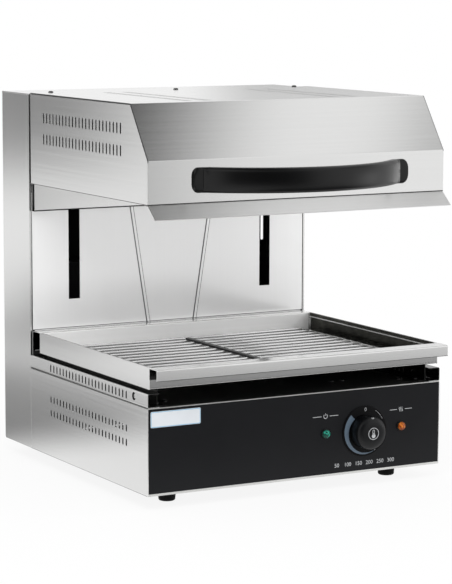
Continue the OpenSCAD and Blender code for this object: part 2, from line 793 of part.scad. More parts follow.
module hood_side() difference() {
  inset = sheet_t + seam;
  rotate([90, 0, 90]) translate([0, 0, half_w - sheet_t]) linear_extrude(sheet_t) polygon([
    [hood_rear, hood_z], [hood_rear, hood_top - inset], [slope_y + inset*0.4, hood_top - inset],
    [hood_front + inset, slope_z - inset*0.4], [hood_front + inset, hood_z]]);
  for (z = hood_vent_rows)
    slot_row(hood_vent_start, hood_vent_end, z, hood_vent_h, half_w, 4*sheet_t);
}

module hood_side_right() color("silver") placed() hood_side();
module hood_side_left() color("silver") placed() mirror([1, 0, 0]) hood_side();

// The plate that closes the hood behind, folded forward under the cover.
module hood_back() color("silver") placed() difference() {
  across(body_w - 2*sheet_t) folded([
    [hood_rear - sheet_t, flange_z], [hood_rear - sheet_t, hood_top - 2*sheet_t],
    [hood_rear - 20, hood_top - 2*sheet_t]], -sheet_t);
  both_sides() block([slot_x - arm_t/2 - 1, hood_rear - 4, arm_z - 1],
    [slot_x + arm_t/2 + 1, hood_rear + 2, arm_z + arm_h + 1]);
  for (x = hood_screw_x) translate([x, hood_screw_y, hood_top]) screw_hole(8);
}

module front_lip() color("silver") placed()
  across(body_w - 1) folded([
    [box_front - 1, hood_z - sheet_t], [hood_front + 1, hood_z - sheet_t],
    [hood_front - lip_reach, hood_z - lip_drop]], -sheet_t);

module rear_skirt() color("silver") placed()
  across(body_w - 6) folded([
    [skirt_rear - skirt_d, hood_z], [skirt_rear - skirt_d, skirt_z],
    [skirt_rear, skirt_z], [skirt_rear, hood_z]]);

module heater_box() color("#bdbdbd") placed() {
  difference() {
    block([-box_half_w, box_front, hood_z], [box_half_w, box_rear, hood_z + box_h]);
    block([-box_half_w + sheet_t, box_front + sheet_t, hood_z - 1],
      [box_half_w - sheet_t, box_rear - sheet_t, hood_z + box_h - sheet_t]);
    for (i = [0:element_count - 1], leg = [-1, 1])
      translate([-box_half_w, element_y(i) + leg*element_gap/2, element_z]) rotate([0, 90, 0])
        cylinder(6, r = element_d/2 + 1, center = true);
  }
  difference() {
    block([-half_w + sheet_t, hood_front + sheet_t, hood_z],
      [half_w - sheet_t, skirt_rear, flange_z]);
    block([-box_half_w + sheet_t/2, box_front + sheet_t/2, hood_z - 1],
      [box_half_w - sheet_t/2, box_rear - sheet_t/2, flange_z + 1]);
  }
}

function element_y(i) = box_front + (box_rear - box_front)*(i + 0.5)/element_count;

// A ridged bright sheet over the elements.
module reflector() color("#dcdcdc") placed() {
  y0 = box_front + 2*sheet_t;
  y1 = box_rear - 2*sheet_t;
  step = (y1 - y0)/(2*element_count);
  ridges = [for (i = [0:2*element_count]) [y0 + step*i, reflector_z + (i % 2 == 0 ? 0 : 14)]];
  across(2*box_half_w - 6)
    folded(concat([[y0, reflector_z - 10]], ridges, [[y1, reflector_z - 10]]));
}

module insulation_mat() color("#cfc7a8") placed()
  block([-box_half_w + 4, box_front + 5, reflector_z + 16],
    [box_half_w - 4, box_rear - 5, hood_z + box_h - sheet_t]);

element_tail = 16;

module heating_elements() color("#4d4a48") placed() for (i = [0:element_count - 1])
  translate([0, element_y(i), element_z]) {
    right = box_half_w - 14 - element_gap/2;
    for (leg = [-1, 1]) translate([-box_half_w - element_tail, leg*element_gap/2, 0]) rotate([0, 90, 0])
      cylinder(right + box_half_w + element_tail, r = element_d/2, $fn = 24);
    translate([right, 0, 0]) rotate([0, 0, -90]) rotate_extrude(angle = 180)
      translate([element_gap/2, 0]) circle(element_d/2, $fn = 24);
  }

module element_terminals() color("#e9e4d6") placed() for (i = [0:element_count - 1], leg = [-1, 1])
  translate([-box_half_w - 6, element_y(i) + leg*element_gap/2, element_z]) rotate([0, 90, 0])
    difference() {
      cylinder(6, r = element_d/2 + 4);
      translate([0, 0, -1]) cylinder(8, r = element_d/2 + run_gap);
    }

module element_rests() color("#b0b0b0") placed() both_sides()
  block([box_half_w*0.55 - 7, box_front + sheet_t, element_z - element_d/2 - 2.1],
    [box_half_w*0.55 + 7, box_rear - sheet_t, element_z - element_d/2 - 0.1]);

// ---------- Handle ----------

module handle_bow() color("#121212") placed() difference() {
  intersection() {
    translate([0, handle_centre_y, handle_z]) difference() {
      cylinder(handle_h, r = handle_r, $fn = 180);
      translate([0, 0, -1]) cylinder(handle_h + 2, r = handle_r - handle_t, $fn = 180);
    }
    back(hood_front - handle_reach - 1, hood_front)
      translate([0, handle_z + handle_h/2]) rounded(handle_l, handle_h, handle_corner);
  }
  handle_fixings() translate([0, 0, -9 - sheet_t]) cylinder(9, r = screw_r + run_gap);
}

module rounded(w, h, r) {
  square([w - 2*r, h], center = true);
  square([w, h - 2*r], center = true);
  for (x = [-1, 1]*(w/2 - r), y = [-1, 1]*(h/2 - r)) translate([x, y]) circle(r);
}

module handle_screws() color("silver") placed() handle_fixings() {
  cylinder(screw_head_h, r = screw_head_r);
  translate([0, 0, -8 - sheet_t]) cylinder(8 + sheet_t, r = screw_r);
}

module hood_screws() color("#3a3a3a") placed()
  for (x = hood_screw_x) translate([x, hood_screw_y, hood_top]) pan_screw(9);

// ---------- Lift arms and carriage ----------

arm_flange = 40;
arm_flange_t = 4;

module lift_arms() color("#a5a5a5") placed() both_sides() {
  block([slot_x - arm_t/2, box_rear, arm_z], [slot_x + arm_t/2, carriage_y, arm_z + arm_h]);
  block([slot_x - arm_flange/2, box_rear, arm_z],
    [slot_x + arm_flange/2, box_rear + arm_flange_t, arm_z + arm_h]);
}

module carriage_plate() color("#8f8f8f") placed() {
  block([-slot_x - arm_t/2 - 8, carriage_y, carriage_z],
    [slot_x + arm_t/2 + 8, carriage_y + carriage_t, carriage_z + carriage_h]);
  both_sides() block([pulley_x - 6, carriage_y + carriage_t, carriage_crimp_z - 6],
    [pulley_x + 6, front_rope_y + crimp_r, carriage_crimp_z]);
}

module slide_bushes() color("#c6b27a") placed() both_sides() difference() {
  block([rod_x - 14, carriage_y + carriage_t, bush_z], [rod_x + 14, rod_y + bush_d/2, bush_z + bush_h]);
  translate([rod_x, rod_y, bush_z - 1]) cylinder(bush_h + 2, r = rod_r + run_gap);
}

// ---------- Nodes ----------

base_shell();
front_panel();
deck_plate();
bottom_plate();
feet();
foot_screws();
side_channel_left();
side_channel_right();
tray_rail_left();
tray_rail_right();
rail_studs();
column_shell();
back_panel();
rear_cover();
casing_screws();
upper_crossmember();
lower_crossmember();
guide_rods();
rod_nuts();
travel_buffers();
pulley_brackets();
pulley_axles();
rope_wraps();
carriage_ropes();
weight_ropes();
heat_regulator();
dial_plate();
power_light();
heat_light();
lamp_bodies();
terminal_block();
cable_gland();
blank_label();
counterweight();
weight_crimps();
pulley_left();
pulley_right();
control_knob();
regulator_shaft();
drip_tray();
wire_grid();
hood_cover();
hood_side_left();
hood_side_right();
hood_back();
front_lip();
rear_skirt();
heater_box();
reflector();
insulation_mat();
heating_elements();
element_rests();
element_terminals();
handle_bow();
handle_screws();
lift_arms();
carriage_plate();
slide_bushes();
hood_screws();
carriage_crimps();
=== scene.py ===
"""Finishes and modelled details for a rise-and-fall cheese melter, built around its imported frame.

Everything is in metres in the frame's own axes: +X right, +Y back, +Z up. Each piece rides on
the body that carries it, so it follows the hood, knob, tray or grid when those move.
"""

import math

import bmesh
import bpy
from mathutils import Euler, Matrix, Vector


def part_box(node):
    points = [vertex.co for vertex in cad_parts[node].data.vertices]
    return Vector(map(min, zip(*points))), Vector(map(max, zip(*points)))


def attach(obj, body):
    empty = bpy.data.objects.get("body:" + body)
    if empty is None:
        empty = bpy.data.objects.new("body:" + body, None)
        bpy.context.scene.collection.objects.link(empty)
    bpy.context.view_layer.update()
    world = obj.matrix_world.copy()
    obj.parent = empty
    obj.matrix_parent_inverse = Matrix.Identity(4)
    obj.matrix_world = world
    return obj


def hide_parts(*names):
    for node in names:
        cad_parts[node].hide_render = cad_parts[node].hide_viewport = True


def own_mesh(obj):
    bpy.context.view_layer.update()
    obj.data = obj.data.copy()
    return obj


bl_info = {
    "name": "Cheese melter finishes",
    "version": (1, 0, 0),
    "blender": (4, 5, 0),
    "location": "3D View > Sidebar > Cheese melter",
    "description": "Finishes, handle, controls and stage for a rise-and-fall cheese melter",
    "category": "Object",
}

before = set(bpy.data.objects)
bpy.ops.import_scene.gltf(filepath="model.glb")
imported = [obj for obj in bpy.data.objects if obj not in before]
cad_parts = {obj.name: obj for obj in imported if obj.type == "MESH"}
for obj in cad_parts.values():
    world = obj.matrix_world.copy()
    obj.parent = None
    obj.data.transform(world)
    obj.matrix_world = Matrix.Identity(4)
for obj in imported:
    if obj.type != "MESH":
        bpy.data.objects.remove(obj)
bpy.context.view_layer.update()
MM = 0.001

# How a sheet is brushed: noise scales per metre, low along the grain, the axis of the faces that
# the grain can't run along, and the scales that those faces take instead. END_ON is how far a
# face's normal has to point along that axis for it.
ALONG, ACROSS = 9.0, 2400.0
GRAIN = {
    "x": ((ALONG, ACROSS, ACROSS), (1, 0, 0), (ACROSS, ALONG, ACROSS)),
    "y": ((ACROSS, ALONG, ACROSS), (0, 1, 0), (ALONG, ACROSS, ACROSS)),
    "z": ((ACROSS, ACROSS, ALONG), (0, 0, 1), (ALONG, ACROSS, ACROSS)),
}
END_ON = 0.7
GRAIN_BUMP, GRAIN_DEPTH = 0.2, 0.01 * MM
# How much brighter a steel edge is coloured: a painted highlight along the edges
PAINTED_EDGE_HIGHLIGHT = 0.12
DUST = (0.42, 0.4, 0.37, 1)
WHITE = (1, 1, 1, 1)


# ---------- Node trees ----------


def feed(tree, socket, value):
    """Links an input to another node's socket, or sets it to a plain value."""
    if isinstance(value, bpy.types.NodeSocket):
        tree.links.new(value, socket)
    else:
        socket.default_value = value


def feed_named(tree, sockets, feeds):
    """Feeds inputs by name, where an underscore stands for a space."""
    for label, value in feeds.items():
        feed(tree, sockets[label.replace("_", " ")], value)


def put(tree, kind, feeds=(), **settings):
    """Adds a shader node. feeds holds its inputs, by place or by name, as values or sockets."""
    made = tree.nodes.new("ShaderNode" + kind)
    for key, value in settings.items():
        setattr(made, key, value)
    for where, value in feeds.items() if isinstance(feeds, dict) else enumerate(feeds):
        feed(tree, made.inputs[where], value)
    return made


def sums(tree, operation, *feeds, clamp=False):
    """The result of one Math node."""
    return put(tree, "Math", feeds, operation=operation, use_clamp=clamp).outputs[0]


def vectors(tree, operation, *feeds):
    """The vector result of one Vector Math node."""
    return put(tree, "VectorMath", feeds, operation=operation).outputs[0]


def dot(tree, first, second):
    """The dot product of two vectors."""
    return put(tree, "VectorMath", [first, second], operation="DOT_PRODUCT").outputs["Value"]


def axes(tree, vector):
    """The X, Y and Z of a vector."""
    return put(tree, "SeparateXYZ", [vector]).outputs


def own_place(tree):
    """The place on the object, in metres."""
    return put(tree, "TexCoord").outputs["Object"]


def between(tree, value, low, high, to_low=0.0, to_high=1.0):
    """A value moved from one range to another, softly and clamped."""
    feeds = {"Value": value, "From Min": low, "From Max": high, "To Min": to_low, "To Max": to_high}
    return put(tree, "MapRange", feeds, interpolation_type="SMOOTHSTEP").outputs[0]


def noise(tree, where, scale, detail=2.0, rough=0.5):
    """The grey value of a noise pattern at the given coordinates."""
    feeds = {"Vector": where, "Scale": scale, "Detail": detail, "Roughness": rough}
    return put(tree, "TexNoise", feeds).outputs[0]


def shaded(tree, colour, value):
    """A colour made lighter or darker by a value around one."""
    if not isinstance(colour, bpy.types.NodeSocket):
        colour = colour[:3]
    return put(tree, "VectorMath", {0: colour, 3: value}, operation="SCALE").outputs[0]


def lifted(tree, colour, mask, change):
    """A colour made brighter by a share, or darker by a negative one, where a mask is one."""
    return shaded(tree, colour, sums(tree, "MULTIPLY_ADD", mask, change, 1.0))


def mixed(tree, share, first, second):
    """Two colours mixed by a share. Inputs 6 and 7 and output 2 of the node are its colours."""
    return put(tree, "Mix", {0: share, 6: first, 7: second}, data_type="RGBA").outputs[2]


def effect(name, inputs, outputs, wire):
    """A shader node group, built once. wire(tree, inputs) returns a socket for each output."""
    if name in bpy.data.node_groups:
        return bpy.data.node_groups[name]
    tree = bpy.data.node_groups.new(name, "ShaderNodeTree")
    for label, kind, start in inputs:
        socket = tree.interface.new_socket(
            name=label, in_out="INPUT", socket_type="NodeSocket" + kind
        )
        socket.default_value = start
    for label, kind in outputs:
        tree.interface.new_socket(name=label, in_out="OUTPUT", socket_type="NodeSocket" + kind)
    entry = tree.nodes.new("NodeGroupInput")
    leaving = tree.nodes.new("NodeGroupOutput")
    made = wire(tree, {socket.name: socket for socket in entry.outputs if socket.name})
    for (label, _), socket in zip(outputs, made):
        tree.links.new(socket, leaving.inputs[label])
    return tree


def place_effect(tree, group, **values):
    """Puts a node group in a material, with its own values, and returns its outputs."""
    made = tree.nodes.new("ShaderNodeGroup")
    made.node_tree = group
    feed_named(tree, made.inputs, values)
    return made.outputs


def brushed_grain():
    """Long fine streaks with slow blotches, as left by a brushing belt."""

    def wire(tree, given):
        here = own_place(tree)
        end_on = dot(tree, put(tree, "NewGeometry").outputs["Normal"], given["Axis"])
        turned = sums(tree, "GREATER_THAN", sums(tree, "ABSOLUTE", end_on), END_ON)
        choice = {0: turned, 4: given["Grain"], 5: given["End grain"]}
        scales = put(tree, "Mix", choice, data_type="VECTOR")
        stretched = vectors(tree, "MULTIPLY", here, scales.outputs[1])
        fine = noise(tree, stretched, 1.0, 2.0, 0.6)
        broad = noise(tree, stretched, 0.12, 1.0)
        cloud = noise(tree, here, 5.0, 3.0, 0.55)
        streak = sums(tree, "SUBTRACT", sums(tree, "ADD", fine, broad), 1.0)
        lift = sums(tree, "MULTIPLY_ADD", streak, given["Streaks"], 1.0)
        patch = sums(tree, "MULTIPLY", sums(tree, "SUBTRACT", cloud, 0.5), given["Blotches"])
        colour = shaded(tree, given["Steel"], sums(tree, "ADD", lift, patch))
        rough = sums(tree, "MULTIPLY_ADD", streak, 0.05, given["Roughness"])
        rough = sums(tree, "MULTIPLY_ADD", patch, 0.5, rough, clamp=True)
        return colour, rough, fine

    return effect(
        "Brushed grain",
        [
            ("Steel", "Color", (0.7, 0.7, 0.7, 1)),
            ("Grain", "Vector", GRAIN["x"][0]),
            ("Axis", "Vector", GRAIN["x"][1]),
            ("End grain", "Vector", GRAIN["x"][2]),
            ("Streaks", "Float", 0.05),
            ("Blotches", "Float", 0.02),
            ("Roughness", "Float", 0.3),
        ],
        [("Color", "Color"), ("Roughness", "Float"), ("Height", "Float")],
        wire,
    )


def softened_edge():
    """A normal rounded at the edges, and a mask that is one where an edge is."""

    def wire(tree, given):
        rounded = put(tree, "Bevel", {"Radius": given["Reach"]}, samples=4).outputs[0]
        flat = put(tree, "NewGeometry").outputs["True Normal"]
        return between(tree, dot(tree, rounded, flat), 0.995, 0.8), rounded

    return effect(
        "Softened edge",
        [("Reach", "Float", 0.0006)],
        [("Mask", "Float"), ("Normal", "Vector")],
        wire,
    )


def moulded_skin():
    """The fine pebbled skin of moulded plastic or rubber, with slow changes in its gloss."""

    def wire(tree, given):
        here = own_place(tree)
        pebble = noise(tree, here, given["Pebble"], 3.0, 0.65)
        drift = sums(tree, "SUBTRACT", noise(tree, here, 22.0, 3.0, 0.6), 0.5)
        colour = lifted(tree, given["Colour"], drift, given["Change"])
        rough = sums(tree, "MULTIPLY_ADD", drift, given["Change"], given["Roughness"], clamp=True)
        return colour, rough, pebble

    return effect(
        "Moulded skin",
        [
            ("Colour", "Color", (0.02, 0.02, 0.02, 1)),
            ("Pebble", "Float", 900.0),
            ("Change", "Float", 0.15),
            ("Roughness", "Float", 0.45),
        ],
        [("Color", "Color"), ("Roughness", "Float"), ("Height", "Float")],
        wire,
    )


def settled_dust():
    """A mask of fine dust on the faces that look up."""

    def wire(tree, given):
        up = axes(tree, put(tree, "NewGeometry").outputs["Normal"])["Z"]
        grains = between(tree, noise(tree, own_place(tree), 240.0, 4.0, 0.7), 0.42, 0.7)
        lying = between(tree, up, 0.3, 0.95)
        return (sums(tree, "MULTIPLY", sums(tree, "MULTIPLY", grains, lying), given["Amount"]),)

    return effect("Settled dust", [("Amount", "Float", 0.2)], [("Mask", "Float")], wire)


def zone():
    """A mask that is one inside a box, mirrored from right to left, as for painted shade along a
    joint.
    """

    def wire(tree, given):
        x, y, z = axes(tree, own_place(tree))
        place = put(tree, "CombineXYZ", [sums(tree, "ABSOLUTE", x), y, z]).outputs[0]
        above = vectors(tree, "SUBTRACT", place, given["Low"])
        below = vectors(tree, "SUBTRACT", given["High"], place)
        least = axes(tree, vectors(tree, "MINIMUM", above, below))
        depth = sums(tree, "MINIMUM", sums(tree, "MINIMUM", least[0], least[1]), least[2])
        return (sums(tree, "GREATER_THAN", depth, 0.0),)

    return effect("Zone", [("Low", "Vector", (0, -1, 0)), ("High", "Vector", (1, 1, 1))],
                  [("Mask", "Float")], wire)


def flanks():
    """A mask that is one on faces that lean a little to a side, as a pressed bead's do, where shade
    is painted.
    """

    def wire(tree, given):
        normal = put(tree, "NewGeometry").outputs["True Normal"]
        lean = sums(tree, "ABSOLUTE", axes(tree, normal)["X"])
        return (sums(tree, "MULTIPLY", between(tree, lean, 0.1, 0.3), given["Amount"]),)

    return effect("Bead flanks", [("Amount", "Float", 0.5)], [("Mask", "Float")], wire)


# ---------- Materials ----------


def rgba(colour):
    """A colour with full cover."""
    return (*colour[:3], 1.0)


def empty_tree(owner):
    """The node tree of a material or world, emptied."""
    owner.use_nodes = True
    owner.node_tree.nodes.clear()
    return owner.node_tree


def new_material(name):
    """A new material with one Principled shader."""
    material = bpy.data.materials.new(name)
    tree = empty_tree(material)
    shader = put(tree, "BsdfPrincipled")
    put(tree, "OutputMaterial", [shader.outputs[0]])
    return material, tree, shader


def set_shader(tree, shader, **feeds):
    """Sets or links the shader's inputs by name."""
    feed_named(tree, shader.inputs, feeds)


def bumped(tree, height, strength, depth, normal=None):
    """A normal raised by a height, on top of another normal if one is given."""
    feeds = {"Height": height, "Strength": strength, "Distance": depth}
    if normal is not None:
        feeds["Normal"] = normal
    return put(tree, "Bump", feeds).outputs[0]


def brushed(tree, colour, roughness, grain="x", streaks=0.05, blotches=0.02):
    """Places the brushed grain along one axis in a material."""
    scales, axis, end_scales = GRAIN[grain]
    return place_effect(
        tree, brushed_grain(), Steel=rgba(colour), Grain=scales, Axis=axis, End_grain=end_scales,
        Streaks=streaks, Blotches=blotches, Roughness=roughness
    )


def in_zones(tree, tone, zones):
    """A colour with its brightness changed inside some boxes: low corner, high corner and share."""
    for low, high, left in zones:
        mask = place_effect(tree, zone(), Low=low, High=high)["Mask"]
        tone = lifted(tree, tone, mask, left - 1.0)
    return tone


def set_sheet(tree, shader, skin, rim, colour, solid):
    """Feeds the shader of a brushed sheet. solid is how far it is metal."""
    normal = bumped(tree, skin["Height"], GRAIN_BUMP, GRAIN_DEPTH, rim["Normal"])
    set_shader(tree, shader, Metallic=solid, Base_Color=colour, Roughness=skin["Roughness"],
               Normal=normal)


def metal(name, colour, roughness, grain="x", streaks=0.05, blotches=0.02, edge=0.5 * MM,
          solid=1.0, zones=(), shade=0.0):
    """Sheet, bar or wire with a brushed or drawn grain and a painted highlight on its edges. zones
    holds low and high corners with the share of brightness that is left between them, and shade is
    the painted shade on its beads."""
    material, tree, shader = new_material(name)
    skin = brushed(tree, colour, roughness, grain, streaks, blotches)
    rim = place_effect(tree, softened_edge(), Reach=edge)
    tone = lifted(tree, skin["Color"], rim["Mask"], PAINTED_EDGE_HIGHLIGHT)
    # Painted shade on the faces of the beads that lean to a side
    if shade:
        tone = lifted(tree, tone, place_effect(tree, flanks(), Amount=shade)["Mask"], -1.0)
    set_sheet(tree, shader, skin, rim, in_zones(tree, tone, zones), solid)
    return material


def tray_sheet(name, colour, roughness, dark, walls, hem, inside, zones):
    """Rolled sheet with painted shade on its side walls within, but for the line along their hem, a
    painted highlight on its edges, and an inside that is duller than its outside and painted paler
    as if lit. dark is the painted shade's colour; walls, hem and inside are low and high corners,
    zones as in metal()."""
    material, tree, shader = new_material(name)
    skin = brushed(tree, colour, roughness, "x")
    in_walls, in_hem, in_pan = (
        place_effect(tree, zone(), Low=low, High=high)["Mask"]
        for low, high in (walls, hem, inside)
    )
    share = sums(tree, "SUBTRACT", in_walls, in_hem, clamp=True)
    # The painted shade on the inner side walls, mottled by noise
    shade_mottle = noise(tree, own_place(tree), 60.0, 5.0, 0.7)
    wall_shade = shaded(tree, rgba(dark), between(tree, shade_mottle, 0.3, 0.75, 0.6, 1.5))
    rim = place_effect(tree, softened_edge(), Reach=0.5 * MM)
    tone = lifted(tree, skin["Color"], rim["Mask"], PAINTED_EDGE_HIGHLIGHT)
    tone = in_zones(tree, lifted(tree, tone, in_pan, 0.2), zones)
    solid = sums(tree, "MULTIPLY_ADD", in_pan, -0.95, 1.0)
    set_sheet(tree, shader, skin, rim, mixed(tree, share, tone, wall_shade), solid)
    return material


def moulded(name, colour, roughness, pebble=900.0, depth=0.03 * MM, dust=0.0, edge=0.6 * MM,
            worn=0.25, **sockets):
    """Moulded plastic, rubber or paint with a fine skin, paler edges and a little dust. pebble is
    the skin's noise scale, worn the share by which its edges are paler, and sockets are set on the
    shader itself."""
    material, tree, shader = new_material(name)
    skin = place_effect(
        tree, moulded_skin(), Colour=rgba(colour), Pebble=pebble, Roughness=roughness
    )
    rim = place_effect(tree, softened_edge(), Reach=edge)
    tone = lifted(tree, skin["Color"], rim["Mask"], worn)
    if dust:
        tone = mixed(tree, place_effect(tree, settled_dust(), Amount=dust)["Mask"], tone, DUST)
    set_shader(tree, shader, Base_Color=tone, Roughness=skin["Roughness"],
               Normal=bumped(tree, skin["Height"], 0.4, depth, rim["Normal"]), **sockets)
    return material


def stranded(name, colour):
    """Wire rope: bright strands wound round at a steep angle, with shade painted into the grooves
    between them.
    """
    material, tree, shader = new_material(name)
    feeds = {"Vector": own_place(tree), "Scale": 260.0, "Distortion": 0.6, "Detail": 1.0}
    wound = put(tree, "TexWave", feeds, bands_direction="DIAGONAL").outputs["Fac"]
    skin = brushed(tree, colour, 0.42, "z")
    tone = shaded(tree, skin["Color"], between(tree, wound, 0.1, 0.6, 0.35, 1.1))
    set_shader(tree, shader, Metallic=1.0, Base_Color=tone, Roughness=skin["Roughness"],
               Normal=bumped(tree, wound, 0.9, 0.4 * MM))
    return material


def fibrous(name, colour):
    """Mineral wool: tangled fibres in several directions."""
    material, tree, shader = new_material(name)
    here = own_place(tree)
    tangle = sums(tree, "MAXIMUM", *(
        noise(tree, vectors(tree, "MULTIPLY", here, way), 1.0, 4.0, 0.7)
        for way in ((900.0, 120.0, 900.0), (120.0, 900.0, 900.0))
    ))
    tone = shaded(tree, colour, between(tree, tangle, 0.35, 0.7, 0.55, 1.1))
    set_shader(tree, shader, Base_Color=tone, Roughness=0.95,
               Normal=bumped(tree, tangle, 1.0, 2 * MM))
    return material


def lens_plastic(name, colour, painted_glint):
    """Clear coloured plastic with small prisms inside, whose glints are painted into its colour as
    bright cells.
    """
    material, tree, shader = new_material(name)
    cells = put(tree, "TexVoronoi", {"Vector": own_place(tree), "Scale": 420.0}).outputs
    glint_cells = between(tree, axes(tree, cells["Color"])[0], 0.45, 0.95)
    deep = put(tree, "LayerWeight", {"Blend": 0.35}).outputs["Facing"]
    body = mixed(tree, deep, rgba(colour), rgba([c * 0.18 for c in colour]))
    tone = mixed(tree, sums(tree, "MULTIPLY", glint_cells, 0.4), body, rgba(painted_glint))
    set_shader(tree, shader, Base_Color=tone, Roughness=between(tree, glint_cells, 0.0, 1.0, 0.12, 0.3),
               Coat_Weight=0.2, Coat_Roughness=0.05, Specular_IOR_Level=0.3,
               Normal=bumped(tree, cells["Distance"], 0.5, 0.6 * MM))
    return material


def printed_ink(name, colour, roughness=0.5):
    """Screen-printed ink with slightly uneven cover."""
    material, tree, shader = new_material(name)
    grain = noise(tree, own_place(tree), 1400.0, 3.0, 0.6)
    cover = between(tree, grain, 0.25, 0.6, 0.78, 1.0)
    set_shader(tree, shader, Base_Color=shaded(tree, colour, cover),
               Roughness=between(tree, cover, 0.7, 1.0, roughness + 0.15, roughness))
    return material


# ---------- Settings ----------


def length(default, name, description):
    """A size setting."""
    return bpy.props.FloatProperty(
        name=name, description=description, default=default, unit="LENGTH", precision=4
    )


def colour_of(default, name, description):
    """A colour setting."""
    return bpy.props.FloatVectorProperty(
        name=name, description=description, default=default, subtype="COLOR", size=3, min=0, max=1
    )


def amount(default, name, description):
    """A share setting, from zero to one."""
    return bpy.props.FloatProperty(
        name=name, description=description, default=default, subtype="FACTOR", min=0, max=1
    )


def watts(default, name, description):
    """A lamp setting, in watts."""
    return bpy.props.FloatProperty(
        name=name, description=description, default=default, subtype="POWER"
    )


class MelterSteel(bpy.types.PropertyGroup):
    """Looks of the sheet metal"""

    casing: colour_of((0.77, 0.77, 0.765), "Casing", "Colour of the brushed casing and hood")
    tray: colour_of((0.82, 0.82, 0.815), "Tray", "Colour of the tray's rolled sheet")
    # Painted shade on the tray's inner side walls
    wall_shade: colour_of((0.05, 0.05, 0.042), "Wall shade", "Colour of the painted shade on the tray's inner side walls")
    back: colour_of((0.96, 0.96, 0.96), "Back panel", "Colour of the bright panel behind the tray")
    gloss: amount(0.22, "Roughness", "Roughness of the brushed casing and hood")
    streaks: amount(0.06, "Streaks", "Contrast of the brushing streaks")


class MelterGrid(bpy.types.PropertyGroup):
    """Sizes of the wire grid"""

    rod: length(4.2 * MM, "Rod", "Diameter of the rods")
    runner: length(2.94 * MM, "Runner", "Diameter of the two runners below the rods")
    rods: bpy.props.IntProperty(name="Rods", description="Number of rods", default=15, min=2)
    overhang: length(3 * MM, "Overhang", "How far the runners pass the end rods' middle")
    bar_rise: length(1.26 * MM, "Bar rise", "From the rods' middle up to the dark bar")


class MelterHandle(bpy.types.PropertyGroup):
    """Looks and sizes of the handle"""

    colour: colour_of((0.002, 0.002, 0.0022), "Colour", "Colour of the moulded handle")
    edge: length(5 * MM, "Edge radius", "Rounding along the grip's long edges")
    crown: length(2.5 * MM, "Crown", "How far the grip's front is rounded towards its edges")
    foot: length(13 * MM, "Foot", "Length of the flat foot at each end")
    foot_t: length(9 * MM, "Foot thickness", "Thickness of the flat foot at each end")
    corner: length(7.5 * MM, "Corner radius", "Rounding of the ends, seen from the front")


class MelterControls(bpy.types.PropertyGroup):
    """Colours of the panel, its controls and its label"""

    panel: colour_of((0.0045, 0.0048, 0.006), "Panel", "Colour of the front panel")
    knob: colour_of((0.003, 0.0033, 0.004), "Knob", "Colour of the moulded knob")
    ink: colour_of((0.42, 0.43, 0.44), "Ink", "Colour of the printed marks")
    wedge: colour_of((0.085, 0.12, 0.16), "Wedge", "Colour of the dial's tapering band")
    green: colour_of((0.0, 0.045, 0.032), "Power light", "Colour of the power light's lens")
    orange: colour_of((0.26, 0.045, 0.003), "Heat light", "Colour of the heat light's lens")
    label: colour_of((0.6, 0.63, 0.66), "Label", "Colour of the blank label")


class MelterStage(bpy.types.PropertyGroup):
    """The floor, light and camera"""

    floor: length(6.0, "Floor radius", "Radius of the floor")
    sky: amount(0.72, "Fill", "Strength of the even light from all round")
    key: watts(34.0, "Key lamp", "Power of the large soft lamp")
    side: watts(12.0, "Side lamp", "Power of the soft lamp on the right")
    front: watts(12.0, "Front lamp", "Power of the low soft lamp in front")
    camera_at: bpy.props.FloatVectorProperty(
        name="Camera place", description="Where the camera stands",
        default=(-1.5817, -2.8559, 0.6862), subtype="TRANSLATION", size=3
    )
    camera_turn: bpy.props.FloatVectorProperty(
        name="Camera turn", description="How the camera is turned",
        default=(math.radians(82.36), math.radians(-0.13), math.radians(-28.95)),
        subtype="EULER", size=3
    )
    lens: bpy.props.FloatProperty(
        name="Lens", description="Focal length in millimetres", default=145.54, subtype="NONE"
    )


# ---------- Mesh helpers ----------


def centre(node):
    """The middle of a node's box."""
    low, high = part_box(node)
    return (low + high) / 2


def dress(name, material):
    """Gives a frame node its finish."""
    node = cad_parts[name]
    if not node.material_slots:
        node.data.materials.append(material)
    for slot in node.material_slots:
        slot.material = material


def dress_all(names, material):
    """Gives several frame nodes the same finish."""
    for name in names:
        dress(name, material)


def add_object(name, data):
    """A new object in the scene."""
    made = bpy.data.objects.new(name, data)
    bpy.context.scene.collection.objects.link(made)
    return made


def new_piece(name, mesh_points, faces, material, body, smooth=40.0):
    """A mesh piece that rides on a body. Its faces are smooth up to the given angle."""
    mesh = bpy.data.meshes.new(name)
    mesh.from_pydata([tuple(p) for p in mesh_points], [], faces)
    shape = bmesh.new()
    shape.from_mesh(mesh)
    bmesh.ops.remove_doubles(shape, verts=shape.verts, dist=1e-7)
    bmesh.ops.recalc_face_normals(shape, faces=shape.faces)
    shape.to_mesh(mesh)
    shape.free()
    mesh.shade_smooth()
    mesh.set_sharp_from_angle(angle=math.radians(smooth))
    mesh.materials.append(material)
    piece = add_object(name, mesh)
    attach(piece, body)
    return piece


def facing(place, outward, up=(0, 0, 1)):
    """The matrix that puts local Z along outward and local Y towards up, at a place."""
    z = Vector(outward).normalized()
    x = Vector(up).cross(z)
    x = x.normalized() if x.length > 1e-6 else Vector((1, 0, 0))
    y = z.cross(x)
    turn = Matrix((x, y, z)).transposed().to_4x4()
    return Matrix.Translation(place) @ turn


